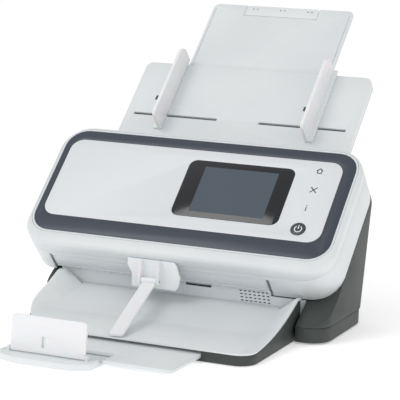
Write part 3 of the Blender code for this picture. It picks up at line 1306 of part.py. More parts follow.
def skirt_profile(front, back):
    """The skirt's side view: its top follows the tray's rim, just below the lip."""
    low = TRAY_SHELL_TOP - GAP
    top = [(y, max(tub_rim(y) - TUB_THICK - GAP, TRAY_SHELL_TOP)) for y in tub_stations(front, back)]
    return [(front, low)] + top + [(back, low)]


def make_tray_shell(base):
    outline = tray_outline(SHELL_MARGIN, SHELL_BACK)
    shell = piece("tray_shell", prism(outline, SHELL_BOTTOM, TRAY_SHELL_TOP, "Z"), dark_plastic(), base, BASE)
    inner = tray_outline(SHELL_MARGIN - WALL, SHELL_BACK - WALL)
    cut(shell, "cavity", prism(inner, -OVERRUN, TRAY_SHELL_TOP + OVERRUN, "Z"), BASE)
    front = TUB_FRONT - SHELL_MARGIN
    for sign in (-1, 1):
        low, high = sorted((sign * RAIL_INNER, sign * RAIL_OUTER))
        rail = block((low, front + WALL / 2, SHELL_BOTTOM), (high, SHELL_BACK - WALL / 2, RAIL_TOP))
        join(shell, f"rail_{sign}", rail, BASE)
    keep(shell, "plan", prism(outline, -OVERRUN, POD_HALF, "Z"), BASE)
    deep = front + MOUTH_DEEP
    cut(shell, "mouth", block((-STAGE_HALF - RUN, front - OVERRUN, RAIL_TOP),
                              (STAGE_HALF + RUN, deep, TRAY_SHELL_TOP + OVERRUN)), BASE)
    cut(shell, "runner_mouth", block((LIP_LEFT - RUN, front - OVERRUN, -OVERRUN),
                                     (LIP_RIGHT + RUN, deep, RAIL_TOP + GAP)),
        BASE)
    right = prism(skirt_profile(SKIRT_FRONT, SHELL_BACK), TRAY_SHELL_RIGHT - WALL, TRAY_SHELL_RIGHT, "X")
    join(shell, "skirt_right", right, BASE)
    straight = TUB_FRONT + TUB_SWEEP_Y
    profile = [(SKIRT_LEFT_END, TRAY_SHELL_TOP - GAP)] + skirt_profile(straight, SHELL_BACK)[1:]
    join(shell, "skirt_left", prism(profile, TRAY_SHELL_LEFT, TRAY_SHELL_LEFT + WALL, "X"), BASE)


def make_output_extension(stage):
    outline = rounded(-STAGE_HALF, STAGE_HALF, STAGE_FRONT, STAGE_BACK, [STAGE_CORNER, STAGE_CORNER, 0, 0])
    made = piece("output_extension", prism(outline, STAGE_LOW, STAGE_HIGH, "Z"), white_plastic(), stage, BASE)
    notch = block((-STAGE_HALF - OVERRUN, STAGE_FRONT - OVERRUN, 0),
                  (STAGE_NOTCH_RIGHT, STAGE_NOTCH_BACK, POD_SEAM))
    cut(made, "notch", notch, BASE)
    return made


def lip_outline():
    half = (LIP_RIGHT - LIP_LEFT) / 2
    middle = (LIP_RIGHT + LIP_LEFT) / 2
    points = []
    for step in range(LIP_STEPS + 1):
        across = -1 + 2 * step / LIP_STEPS
        points.append((middle + across * half, LIP_FRONT + LIP_BOW * across ** 4))
    return points + [(LIP_RIGHT, STAGE_FRONT - GAP), (LIP_LEFT, STAGE_FRONT - GAP)]


def make_extension_tongue(tongue):
    runner = block((LIP_LEFT + GAP, STAGE_FRONT - POD_SEAM, RUNNER_LOW),
                   (LIP_RIGHT - GAP, RUNNER_BACK, RUNNER_HIGH))
    made = piece("extension_tongue", runner, white_plastic(), tongue, BASE)
    join(made, "lip", prism(lip_outline(), RUNNER_LOW + GAP / 10, STAGE_HIGH, "Z"), BASE)
    for index, x in enumerate((STOP_LEFT - RUN - STOP_EAR, STOP_RIGHT + RUN)):
        ear = block((x, STOP_Y - STOP_EAR, STAGE_HIGH - GAP),
                    (x + STOP_EAR, STOP_Y + STOP_EAR, STOP_HINGE_Z + STOP_EAR))
        join(made, f"ear_{index}", ear, BASE)
    cut(made, "bore", rod((STOP_Y, STOP_HINGE_Z), STOP_PIN_RADIUS + PIN_PLAY,
                          STOP_LEFT - RUN - STOP_EAR - OVERRUN,
                          STOP_RIGHT + RUN + STOP_EAR + OVERRUN, "X", 12), BASE)


def make_end_stop(stop):
    outline = rounded(STOP_LEFT, STOP_RIGHT, STOP_LOW - STOP_HINGE_Z, STOP_HIGH - STOP_HINGE_Z,
                      [STOP_CORNER / 4] * 2 + [STOP_CORNER] * 2)
    upright = BASE @ Matrix.Translation((0, STOP_Y, STOP_HINGE_Z)) @ Matrix.Rotation(-STOP_LEAN, 4, "X")
    made = piece("end_stop", prism(outline, -STOP_THICK / 2, STOP_THICK / 2, "Y"), frosted_plastic(), stop,
                 upright)
    slot = rounded(STOP_SLOT_X - STOP_SLOT_HALF, STOP_SLOT_X + STOP_SLOT_HALF, STOP_SLOT_LOW - STOP_HINGE_Z,
                   STOP_SLOT_HIGH - STOP_HINGE_Z, [STOP_SLOT_HALF - GAP] * 4)
    cut(made, "slot", prism(slot, -STOP_THICK - OVERRUN, STOP_THICK + OVERRUN, "Y"), upright)
    join(made, "pin", rod((STOP_Y, STOP_HINGE_Z), STOP_PIN_RADIUS, STOP_LEFT - RUN - STOP_EAR,
                          STOP_RIGHT + RUN + STOP_EAR,
                          "X", 12), BASE)


def at_face(u, v, w):
    return FACE @ Matrix.Translation((u, v, -w))


def main():
    for old in list(bpy.data.objects):
        bpy.data.objects.remove(old)
    base = joint_frame("base_frame", None, BASE)
    make_base_pan(base)
    make_rear_housing(base)
    make_feet(base)
    make_hinge_plates(base)
    make_paper_guide(base)
    make_lower_scanner(base)
    for name, v, radius in base_rollers():
        centre = roller_centre(v, radius)
        make_roller(name, v, radius, joint_frame(name + "_axis", base, at_face(0, v, -centre[1])))
    make_exit_panel(base)
    make_speaker(base)
    make_drive_motor(base)
    make_main_board(base)
    make_ports(base)
    make_output_tray(base)
    make_tray_shell(base)

    cover = joint_frame("cover_hinge", base, at_face(0, HINGE_V, HINGE_W))
    make_pod_front_shell(cover)
    make_bezel(cover)
    make_control_panel(cover)
    make_key_board(cover)
    make_power_button(joint_frame("power_button_slide", cover, at_face(BUTTON_U, BUTTON_V, 0)))
    make_pod_rear_shell(cover)
    make_exit_strip(cover)
    make_cover_pins(cover)
    make_upper_scanner(cover)
    make_separation_roller(joint_frame("separation_axis", cover,
                                       at_face(0, FEED_V, nip(FEED_V) - FEED_RADIUS)))
    make_release_button(joint_frame("release_slide", cover, at_face(RELEASE_LEFT, POD_HIGH, RELEASE_LOW_W)))
    make_output_guide(cover)
    make_arm_pin(cover)
    arm_place = BASE @ Matrix.Translation((0, ARM_PIVOT_Y, ARM_PIVOT_Z))
    make_hold_down_arm(joint_frame("arm_hinge", cover, arm_place), BASE)

    tray = joint_frame("tray_hinge", base, at_face(0, TRAY_HINGE_V, TRAY_HINGE_W))
    make_input_tray(tray)
    make_tray_cover(tray)
    make_tray_pins(tray)
    make_side_guide("guide_left", -1, joint_frame("guide_left_slide", tray,
                                                  at_face(-SIDE_GUIDE_FACE, SLOT_V, TRAY_W)))
    make_side_guide("guide_right", 1, joint_frame("guide_right_slide", tray,
                                                  at_face(SIDE_GUIDE_FACE, SLOT_V, TRAY_W)))
    make_guide_pinion(joint_frame("pinion_axis", tray, at_face(0, SLOT_V, RACK_W)))
    extension = joint_frame("extension_slide", tray, at_face(0, EXT_LOW_V, EXT_W))
    make_input_extension(extension)
    make_flip_tab(joint_frame("flip_hinge", extension, at_face(0, TAB_PIVOT_V, EXT_W + EXT_THICK / 2)))

    stage = joint_frame("stage_slide", base, BASE @ Matrix.Translation((0, STAGE_FRONT, STAGE_LOW)))
    make_output_extension(stage)
    tongue = joint_frame("tongue_slide", stage, BASE @ Matrix.Translation((0, LIP_FRONT, RUNNER_LOW)))
    make_extension_tongue(tongue)
    make_end_stop(joint_frame("stop_hinge", tongue, BASE @ Matrix.Translation((0, STOP_Y, STOP_HINGE_Z))))


main()
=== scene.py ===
"""Finishes for a desktop document scanner, built around its packed construction model."""
import json
import math

import bpy
from mathutils import Matrix, Vector


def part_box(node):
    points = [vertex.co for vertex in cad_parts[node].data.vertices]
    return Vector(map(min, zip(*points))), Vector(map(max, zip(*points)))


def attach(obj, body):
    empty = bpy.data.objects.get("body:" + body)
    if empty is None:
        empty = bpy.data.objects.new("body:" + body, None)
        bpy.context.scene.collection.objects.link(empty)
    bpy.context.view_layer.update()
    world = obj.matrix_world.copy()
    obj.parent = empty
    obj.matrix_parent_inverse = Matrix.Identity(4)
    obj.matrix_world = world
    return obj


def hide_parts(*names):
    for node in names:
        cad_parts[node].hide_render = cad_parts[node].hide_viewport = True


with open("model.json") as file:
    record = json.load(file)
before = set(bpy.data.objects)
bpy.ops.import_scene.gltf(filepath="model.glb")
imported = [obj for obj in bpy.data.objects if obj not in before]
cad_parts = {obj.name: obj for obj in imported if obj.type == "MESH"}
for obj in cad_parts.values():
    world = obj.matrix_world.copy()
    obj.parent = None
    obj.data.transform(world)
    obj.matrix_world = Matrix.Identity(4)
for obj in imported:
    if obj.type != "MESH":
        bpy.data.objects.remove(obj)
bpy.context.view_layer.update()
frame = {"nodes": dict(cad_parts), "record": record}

bl_info = {
    "name": "Document scanner finishes",
    "version": (1, 0, 0),
    "blender": (4, 5, 0),
    "location": "View3D > Sidebar > Scanner",
    "description": "Casing, panel, trays and studio of a desktop document scanner",
    "category": "Object",
}

MM = 0.001

# The tilted face, read from the bezel that lies in it
FACE_SLOPE = math.radians(42.96)
BEZEL_DEEP = 3.0 * MM
BEZEL_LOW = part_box("bezel")[0]
FACE = (Matrix.Translation((0, BEZEL_LOW[1], BEZEL_LOW[2] + BEZEL_DEEP * math.cos(FACE_SLOPE)))
        @ Matrix.Rotation(FACE_SLOPE, 4, "X"))
ORIGIN_Y = BEZEL_LOW[1]
PRINT_THICK = 0.06 * MM
PRINT_LIFT = 0.02 * MM

# Clean-up and shading of the copied solids
MERGE_DISTANCE = 0.01 * MM
PRINT_MERGE_DISTANCE = 0.001 * MM
FLAT_ANGLE = math.radians(0.5)
ROUNDED_ANGLE = math.radians(35)
SMOOTH_ANGLE = math.radians(32)
FINE_SEGMENTS = 2
SOFT_SEGMENTS = 3

# The photograph's camera
CAMERA_AZIMUTH = math.radians(23.049)
CAMERA_ELEVATION = math.radians(9.864)
CAMERA_ROLL = math.radians(1.849)
CAMERA_DISTANCE = 1681.23 * MM
CAMERA_TARGET = Vector((15.531 * MM, 27.082 * MM + ORIGIN_Y, 113.905 * MM))
CAMERA_LENS = 162.946
CAMERA_SENSOR = 36.0
CAMERA_REACH = 20.0


def linear(code):
    """An sRGB hex colour as linear light."""
    values = [int(code[index:index + 2], 16) / 255 for index in (1, 3, 5)]
    return tuple(value / 12.92 if value <= 0.04045 else ((value + 0.055) / 1.055) ** 2.4 for value in values)


def colour_value(name, description, code):
    return bpy.props.FloatVectorProperty(name=name, description=description, subtype="COLOR", size=3,
                                         min=0.0, max=1.0, default=linear(code))


def length_value(name, description, default):
    return bpy.props.FloatProperty(name=name, description=description, default=default, min=0.0,
                                   unit="LENGTH", precision=5)


class ScannerColours(bpy.types.PropertyGroup):
    casing: colour_value("Casing", "White moulded casing", "#E6E9EA")
    casing_shade: colour_value("Casing shade", "Slow drift of the white casing's colour", "#DFE3E5")
    exit_grey: colour_value("Exit grey", "Light grey of the exit panel and the comb strip", "#DCE0E3")
    panel: colour_value("Panel", "Control panel film", "#E1E4E7")
    bezel: colour_value("Bezel", "Blue grey ring round the panel", "#343C4A")
    base: colour_value("Base", "Dark grey housing", "#343A37")
    frosted: colour_value("Frosted", "Frosted guides, arm and stop", "#F0F2F4")
    glass: colour_value("Glass", "Black border of the touch glass", "#0E1117")
    display: colour_value("Display", "Unlit liquid crystal display", "#4A5560")
    ink: colour_value("Ink", "Printed symbols", "#3C4446")
    # Painted shade: shadow_line is a grey that stands in for the shade at the bottom of deep joints and
    # hollows; it colours the grip dots.
    shadow_line: colour_value("Shadow line", "Deep joints between mouldings", "#7E868B")


class ScannerSizes(bpy.types.PropertyGroup):
    casing_edge: length_value("Casing edge", "Rounding of the casing's moulded edges", 0.6 * MM)
    small_edge: length_value("Small edge", "Rounding of thin plates and small pieces", 0.3 * MM)
    house_icon: length_value("House symbol", "Width of the printed house", 7.6 * MM)
    cross_icon: length_value("Cross symbol", "Width of the printed cross", 6.2 * MM)
    info_icon: length_value("Bar symbol", "Height of the printed bar", 7.0 * MM)
    ink_line: length_value("Ink line", "Width of a printed line", 0.9 * MM)


def colours():
    return bpy.context.scene.scanner_colours


def sizes():
    return bpy.context.scene.scanner_sizes


# Materials

def add_node(tree, kind, settings=None, values=None, links=None):
    """Add a node, set its properties and sockets, and link sockets to (node, output) pairs."""
    node = tree.nodes.new(kind)
    for name, value in (settings or {}).items():
        setattr(node, name, value)
    for name, value in (values or {}).items():
        node.inputs[name].default_value = value
    for name, (source, output) in (links or {}).items():
        tree.links.new(source.outputs[output], node.inputs[name])
    return node


def new_surface(name, colour, roughness, **values):
    """A material whose shader carries every value that is the same all over."""
    material = bpy.data.materials.get(name) or bpy.data.materials.new(name)
    material.use_nodes = True
    tree = material.node_tree
    tree.nodes.clear()
    shader = add_node(tree, "ShaderNodeBsdfPrincipled", values={"Roughness": roughness, **values})
    shader.inputs["Base Color"].default_value = (*colour, 1)
    add_node(tree, "ShaderNodeOutputMaterial", links={"Surface": (shader, "BSDF")})
    place = add_node(tree, "ShaderNodeTexCoord")
    return material, tree, shader, place


def per_mm(size):
    """Noise scale whose blotches are about one size, given in millimetres."""
    return 1 / (size * MM)


def grain(tree, shader, place, size, strength, depth):
    """Spark-eroded mould grain: fine bumps of one size, all over."""
    noise = add_node(tree, "ShaderNodeTexNoise", values={"Scale": per_mm(size), "Detail": 3.0},
                     links={"Vector": (place, "Object")})
    bump = add_node(tree, "ShaderNodeBump", values={"Strength": strength, "Distance": depth},
                    links={"Height": (noise, "Fac")})
    tree.links.new(bump.outputs["Normal"], shader.inputs["Normal"])


def drift(tree, shader, place, first, second, size):
    """Slow change between two near colours, as in a large moulding."""
    noise = add_node(tree, "ShaderNodeTexNoise", values={"Scale": per_mm(size), "Detail": 2.0},
                     links={"Vector": (place, "Object")})
    ramp = add_node(tree, "ShaderNodeValToRGB", links={"Fac": (noise, "Fac")})
    ramp.color_ramp.elements[0].position = 0.35
    ramp.color_ramp.elements[0].color = (*first, 1)
    ramp.color_ramp.elements[1].position = 0.65
    ramp.color_ramp.elements[1].color = (*second, 1)
    tree.links.new(ramp.outputs["Color"], shader.inputs["Base Color"])


def gloss_drift(tree, shader, place, low, high, size):
    """Patchy polish: roughness wanders between two values."""
    noise = add_node(tree, "ShaderNodeTexNoise", values={"Scale": per_mm(size), "Detail": 4.0},
                     links={"Vector": (place, "Object")})
    span = add_node(tree, "ShaderNodeMapRange", values={"To Min": low, "To Max": high},
                    links={"Value": (noise, "Fac")})
    tree.links.new(span.outputs["Result"], shader.inputs["Roughness"])


def moulded_white():
    """Injection-moulded ABS with a fine spark-eroded grain: satin, with soft broad highlights."""
    material, tree, shader, place = new_surface("moulded_white_abs", colours().casing, 0.42, IOR=1.54)
    drift(tree, shader, place, colours().casing, colours().casing_shade, 90.0)
    grain(tree, shader, place, 0.7, 0.12, 0.05 * MM)
    return material


def moulded_grey():
    """The same ABS in light grey, a little flatter."""
    material, tree, shader, place = new_surface("moulded_grey_abs", colours().exit_grey, 0.5, IOR=1.54)
    grain(tree, shader, place, 0.7, 0.15, 0.05 * MM)
    gloss_drift(tree, shader, place, 0.44, 0.56, 30.0)
    return material


def panel_film():
    """Hard-coated polycarbonate film, back printed: smooth, even and slightly glossy."""
    material, tree, shader, place = new_surface("panel_polycarbonate_film", colours().panel, 0.5, IOR=1.58)
    grain(tree, shader, place, 0.5, 0.04, 0.02 * MM)
    return material


def bezel_paint():
    """Blue grey ABS with a fine satin grain."""
    material, tree, shader, place = new_surface("bezel_blue_grey_abs", colours().bezel, 0.36, IOR=1.54)
    grain(tree, shader, place, 0.6, 0.12, 0.04 * MM)
    return material


def dark_casing():
    """Dark grey PC and ABS blend with a deeper mould texture, which scatters its highlights."""
    material, tree, shader, place = new_surface("textured_dark_grey_pc_abs", colours().base, 0.5, IOR=1.56)
    grain(tree, shader, place, 0.9, 0.3, 0.08 * MM)
    gloss_drift(tree, shader, place, 0.45, 0.6, 25.0)
    return material


def frosted_plastic():
    """Frosted polypropylene: milky, a little light passes into it."""
    values = {"IOR": 1.49, "Subsurface Weight": 0.25, "Subsurface Scale": 0.004}
    material, tree, shader, place = new_surface("frosted_polypropylene", colours().frosted, 0.38, **values)
    grain(tree, shader, place, 0.6, 0.08, 0.03 * MM)
    return material


def touch_glass():
    """Chemically strengthened cover glass over a black printed border: a hard clear reflection."""
    values = {"IOR": 1.51, "Coat Weight": 0.1, "Coat Roughness": 0.03}
    material, tree, shader, place = new_surface("black_printed_cover_glass", colours().glass, 0.12, **values)
    gloss_drift(tree, shader, place, 0.09, 0.16, 18.0)
    return material


def display_surface():
    """Unlit liquid crystal display seen through the glass: even blue grey, with a fine pixel mesh."""
    values = {"IOR": 1.51, "Coat Weight": 0.1, "Coat Roughness": 0.03}
    material, tree, shader, place = new_surface("unlit_liquid_crystal_display", colours().display, 0.2,
                                                **values)
    gloss_drift(tree, shader, place, 0.17, 0.23, 12.0)
    return material


def scan_glass():
    """Float glass over the image sensor: dark, clear and sharp in reflection."""
    material, tree, shader, place = new_surface("scan_window_float_glass", linear("#3A4246"), 0.05, IOR=1.52)
    gloss_drift(tree, shader, place, 0.03, 0.08, 15.0)
    return material


def bright_steel():
    """Cold-rolled steel, zinc plated: cool grey, faint rolling lines."""
    material, tree, shader, place = new_surface("zinc_plated_steel", linear("#B4B7BA"), 0.3, Metallic=1.0)
    gloss_drift(tree, shader, place, 0.24, 0.4, 2.0)
    return material


def roller_rubber():
    """Ground EPDM rubber: nearly black, matt."""
    material, tree, shader, place = new_surface("ground_epdm_rubber", linear("#2B2B2D"), 0.75, IOR=1.52)
    grain(tree, shader, place, 0.35, 0.4, 0.1 * MM)
    return material


def green_board():
    """Solder mask over fibreglass laminate, with a faint trace pattern."""
    material, tree, shader, place = new_surface("solder_mask_on_fr4", linear("#1E5A34"), 0.35, IOR=1.5)
    drift(tree, shader, place, linear("#1E5A34"), linear("#2B7044"), 2.0)
    return material


def black_moulding():
    """Black nylon and glass fibre, as moulded."""
    material, tree, shader, place = new_surface("black_glass_filled_nylon", linear("#1C1D1F"), 0.5, IOR=1.53)
    grain(tree, shader, place, 0.5, 0.2, 0.05 * MM)
    return material


def screen_ink():
    """Pad-printed ink: flat dark grey."""
    material, tree, shader, place = new_surface("pad_printed_ink", colours().ink, 0.45, IOR=1.5)
    gloss_drift(tree, shader, place, 0.4, 0.5, 3.0)
    return material


def white_ink():
    """Laser-etched or printed white symbol."""
    material, tree, shader, place = new_surface("white_symbol_ink", linear("#F2F4F5"), 0.45, IOR=1.5)
    gloss_drift(tree, shader, place, 0.4, 0.5, 3.0)
    return material


def joint_shade():
    """The bottom of a narrow joint or groove: matt, in shade."""
    material, tree, shader, place = new_surface("shaded_moulded_joint", colours().shadow_line, 0.7, IOR=1.54)
    grain(tree, shader, place, 0.7, 0.1, 0.03 * MM)
    return material


def button_black():
    """Dark grey button cap, satin."""
    material, tree, shader, place = new_surface("dark_button_abs", linear("#3A4043"), 0.35, IOR=1.54)
    grain(tree, shader, place, 0.5, 0.08, 0.03 * MM)
    return material


# Modelling helpers

def deselect():
    if bpy.context.object and bpy.context.object.mode != "OBJECT":
        bpy.ops.object.mode_set(mode="OBJECT")
    bpy.ops.object.select_all(action="DESELECT")


def take(piece):
    deselect()
    piece.select_set(True)
    bpy.context.view_layer.objects.active = piece


def paint(piece, material):
    piece.data.materials.clear()
    piece.data.materials.append(material)


def seat(piece, name, body, material):
    """Name a finished piece, give it its material and body."""
    piece.name = name
    piece.data.name = name
    paint(piece, material)
    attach(piece, body)


def apply_place(piece, place):
    """Move a piece to its place and leave it unrotated at the origin."""
    take(piece)
    piece.matrix_world = place @ piece.matrix_world
    bpy.ops.object.transform_apply(location=True, rotation=True, scale=True)


def body_of_node(node):
    return next(body for body, nodes in frame["record"]["behaviour"]["bodies"].items() if node in nodes)


def refine(node, material, width, segments=SOFT_SEGMENTS):
    """A copy of a node with its loose triangles merged and its moulded edges rounded, which replaces it."""
    source = frame["nodes"][node]
    copy = bpy.data.objects.new(node + "_finished", source.data.copy())
    bpy.context.scene.collection.objects.link(copy)
    take(copy)
    bpy.ops.object.mode_set(mode="EDIT")
    bpy.ops.mesh.select_all(action="SELECT")
    bpy.ops.mesh.remove_doubles(threshold=MERGE_DISTANCE)
    bpy.ops.mesh.dissolve_limited(angle_limit=FLAT_ANGLE)
    bpy.ops.object.mode_set(mode="OBJECT")
    rounding = copy.modifiers.new("moulded_edges", "BEVEL")
    rounding.width = width
    rounding.segments = segments
    rounding.limit_method = "ANGLE"
    rounding.angle_limit = ROUNDED_ANGLE
    rounding.use_clamp_overlap = True
    rounding.miter_outer = "MITER_ARC"
    bpy.ops.object.modifier_apply(modifier=rounding.name)
    bpy.ops.object.shade_smooth_by_angle(angle=SMOOTH_ANGLE)
    seat(copy, node + "_finished", body_of_node(node), material)
    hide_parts(node)


def dress(node, material):
    """Keep a node's own solid and give it its finish."""
    paint(frame["nodes"][node], material)


def flat_print(name, outline, holes, place, body, material):
    """A thin printed or inlaid shape from a curve's outline, laid on a surface."""
    curve = bpy.data.curves.new(name, "CURVE")
    curve.dimensions = "2D"
    curve.fill_mode = "BOTH"
    for points in [outline] + holes:
        spline = curve.splines.new("POLY")
        spline.points.add(len(points) - 1)
        for point, (x, y) in zip(spline.points, points):
            point.co = (x, y, 0, 1)
        spline.use_cyclic_u = True
    curve.extrude = PRINT_THICK / 2
    made = bpy.data.objects.new(name, curve)
    bpy.context.scene.collection.objects.link(made)
    take(made)
    bpy.ops.object.convert(target="MESH")
    made = bpy.context.object
    bpy.ops.object.mode_set(mode="EDIT")
    bpy.ops.mesh.select_all(action="SELECT")
    bpy.ops.mesh.remove_doubles(threshold=PRINT_MERGE_DISTANCE)
    bpy.ops.mesh.normals_make_consistent(inside=False)
    bpy.ops.object.mode_set(mode="OBJECT")
    apply_place(made, place)
    seat(made, name, body, material)


def on_face(u, v, lift=0.0):
    return FACE @ Matrix.Translation((u, v, lift))


def ring_points(radius, start, end, steps):
    """Points on an arc from one angle to another, in degrees."""
    turns = [math.radians(start + (end - start) * step / steps) for step in range(steps + 1)]
    return [(radius * math.cos(turn), radius * math.sin(turn)) for turn in turns]


def bar_points(low, high, width):
    """A straight upright bar on the centre line."""
    half = width / 2
    return [(half, low), (half, high), (-half, high), (-half, low)]


class ScannerPiece:
    """What the scanner's operators share."""
    bl_options = {"REGISTER", "UNDO"}


class SCANNER_OT_stage(ScannerPiece, bpy.types.Operator):
    """Pale floor, soft studio light and the photograph's camera"""
    bl_idname = "scanner.stage"
    bl_label = "Studio"

    FLOOR_SIZE = 12.0
    FLOOR_GLOW = 0.34
    SOFT_STRENGTH = 0.68
    LAMPS = (("key_light", (-1.0, -1.3, 2.0), 1.2, 12.5),
             ("fill_light", (1.6, -1.4, 1.1), 1.6, 4.0))

    def execute(self, context):
        self.make_camera(context)
        self.make_floor()
        self.make_light(context)
        context.scene.view_settings.view_transform = "Standard"
        return {"FINISHED"}

    def make_camera(self, context):
        out = Vector((math.sin(CAMERA_AZIMUTH) * math.cos(CAMERA_ELEVATION),
                      -math.cos(CAMERA_AZIMUTH) * math.cos(CAMERA_ELEVATION), math.sin(CAMERA_ELEVATION)))
        turn = out.to_track_quat("Z", "Y").to_matrix().to_4x4() @ Matrix.Rotation(CAMERA_ROLL, 4, "Z")
        data = bpy.data.cameras.new("photo_camera")
        data.lens = CAMERA_LENS
        data.sensor_width = CAMERA_SENSOR
        data.clip_end = CAMERA_REACH
        camera = bpy.data.objects.new("photo_camera", data)
        camera.matrix_world = Matrix.Translation(CAMERA_TARGET + out * CAMERA_DISTANCE) @ turn
        context.scene.collection.objects.link(camera)
        context.scene.camera = camera

    def make_floor(self):
        deselect()
        bpy.ops.mesh.primitive_plane_add(size=self.FLOOR_SIZE, location=(0, 0, 0))
        floor = bpy.context.object
        floor.name = "studio_floor"
        values = {"Emission Color": (1, 1, 1, 1), "Emission Strength": self.FLOOR_GLOW}
        material, tree, shader, place = new_surface("backlit_white_paper", linear("#FCFCFC"), 0.9, **values)
        paint(floor, material)

    def make_light(self, context):
        world = bpy.data.worlds.new("studio")
        context.scene.world = world
        world.use_nodes = True
        tree = world.node_tree
        tree.nodes.clear()
        path = add_node(tree, "ShaderNodeLightPath")
        soft = add_node(tree, "ShaderNodeBackground", values={"Strength": self.SOFT_STRENGTH})
        white = add_node(tree, "ShaderNodeBackground", values={"Strength": 1.0})
        for node in (soft, white):
            node.inputs["Color"].default_value = (1, 1, 1, 1)
        mix = add_node(tree, "ShaderNodeMixShader", links={"Fac": (path, "Is Camera Ray")})
        tree.links.new(soft.outputs[0], mix.inputs[1])
        tree.links.new(white.outputs[0], mix.inputs[2])
        add_node(tree, "ShaderNodeOutputWorld", links={"Surface": (mix, "Shader")})
        for name, spot, size, power in self.LAMPS:
            data = bpy.data.lights.new(name, "AREA")
            data.shape = "DISK"
            data.size = size
            data.energy = power
            lamp = bpy.data.objects.new(name, data)
            aim = (CAMERA_TARGET - Vector(spot)).to_track_quat("-Z", "Y")
            lamp.matrix_world = Matrix.Translation(spot) @ aim.to_matrix().to_4x4()
            context.scene.collection.objects.link(lamp)


class SCANNER_OT_cover(ScannerPiece, bpy.types.Operator):
    """White shells of the hinged front cover"""
    bl_idname = "scanner.cover"
    bl_label = "Cover shells"

    def execute(self, context):
        edge = sizes().casing_edge
        refine("pod_front_shell", moulded_white(), sizes().small_edge, FINE_SEGMENTS)
        refine("pod_rear_shell", moulded_white(), sizes().small_edge, FINE_SEGMENTS)
        refine("bezel_trim", moulded_grey(), sizes().small_edge, FINE_SEGMENTS)
        refine("release_button", moulded_grey(), edge)
        refine("exit_strip", moulded_grey(), sizes().small_edge, FINE_SEGMENTS)
        return {"FINISHED"}


class SCANNER_OT_panel(ScannerPiece, bpy.types.Operator):
    """Bezel, control panel, touch display, symbols and power button"""
    bl_idname = "scanner.panel"
    bl_label = "Control panel"

    LCD = (3.5 * MM, 77.8 * MM, 39.0 * MM, 92.5 * MM)
    HOUSE = (115.8 * MM, 100.3 * MM)
    CROSS = (116.1 * MM, 77.6 * MM)
    BAR = (115.1 * MM, 56.2 * MM)
    POWER = (114.7 * MM, 31.7 * MM)
    BUTTON_PROUD = 0.3 * MM
    GLASS_EDGE = 0.15 * MM
    POWER_RADIUS = 3.4 * MM
    POWER_LINE = 0.9 * MM
    POWER_GAP = 35
    POWER_BAR_SHARE = 1.1
    ARC_STEPS = 28
    WALL_SHARE = 0.62
    FOOT_SHARE = 0.85
    EAVE_SHARE = 0.02
    RIDGE_SHARE = 0.9
    RIDGE_LINE_SHARE = 1.35
    CROSS_LINE_SHARE = 0.42
    STEM_SHARE = 0.35
    DOT_SIZE_SHARE = 0.6
    DOT_PLACE_SHARE = 0.8
    DOT_END = 345
    DOT_STEPS = 23

    def execute(self, context):
        refine("bezel", bezel_paint(), sizes().small_edge, FINE_SEGMENTS)
        refine("control_panel", panel_film(), sizes().small_edge, FINE_SEGMENTS)
        refine("touch_glass", touch_glass(), self.GLASS_EDGE, FINE_SEGMENTS)
        refine("power_button", button_black(), sizes().small_edge, FINE_SEGMENTS)
        self.make_display()
        self.make_house()
        self.make_cross()
        self.make_bar()
        self.make_power_symbol()
        return {"FINISHED"}

    def make_display(self):
        left, right, low, high = self.LCD
        outline = [(left, low), (right, low), (right, high), (left, high)]
        flat_print("display_picture_area", outline, [], on_face(0, 0, PRINT_LIFT), "cover",
                   display_surface())

    def symbol(self, name, outline, holes, centre):
        flat_print(name, outline, holes, on_face(*centre, PRINT_LIFT), "cover", screen_ink())

    def make_house(self):
        half = sizes().house_icon / 2
        line = sizes().ink_line
        wall = half * self.WALL_SHARE
        foot = -half * self.FOOT_SHARE
        eave = -half * self.EAVE_SHARE
        ridge = half * self.RIDGE_SHARE
        outer = [(-wall, foot), (wall, foot), (wall, eave), (half, eave), (0, ridge), (-half, eave),
                 (-wall, eave)]
        inner_wall = wall - line
        inner_eave = line / 3 - eave
        inner = [(-inner_wall, foot + line), (inner_wall, foot + line), (inner_wall, inner_eave),
                 (0, ridge - line * self.RIDGE_LINE_SHARE), (-inner_wall, inner_eave)]
        self.symbol("house_symbol", outer, [inner], self.HOUSE)

    def make_cross(self):
        half = sizes().cross_icon / 2
        line = sizes().ink_line * self.CROSS_LINE_SHARE
        points = []
        for quarter in range(4):
            turn = Matrix.Rotation(math.radians(90 * quarter), 2)
            for x, y in ((half - line, -half - line), (half + line, -half + line), (line * 2, 0)):
                points.append(tuple(turn @ Vector((x, y))))
        self.symbol("cross_symbol", points, [], self.CROSS)

    def make_bar(self):
        half = sizes().info_icon / 2
        line = sizes().ink_line
        stem = bar_points(-half, half * self.STEM_SHARE, line)
        ring = ring_points(line * self.DOT_SIZE_SHARE, 0, self.DOT_END, self.DOT_STEPS)
        dot = [(x, y + half * self.DOT_PLACE_SHARE) for x, y in ring]
        self.symbol("bar_symbol_stem", stem, [], self.BAR)
        self.symbol("bar_symbol_dot", dot, [], self.BAR)

    def make_power_symbol(self):
        outer = self.POWER_RADIUS + self.POWER_LINE / 2
        inner = self.POWER_RADIUS - self.POWER_LINE / 2
        start = 90 + self.POWER_GAP
        end = 450 - self.POWER_GAP
        ring = ring_points(outer, start, end, self.ARC_STEPS)
        ring += list(reversed(ring_points(inner, start, end, self.ARC_STEPS)))
        lift = self.BUTTON_PROUD + PRINT_LIFT
        bar = bar_points(0, outer * self.POWER_BAR_SHARE, self.POWER_LINE)
        for name, outline in (("power_symbol_ring", ring), ("power_symbol_bar", bar)):
            flat_print(name, outline, [], on_face(*self.POWER, lift), "power_button",
                       white_ink())


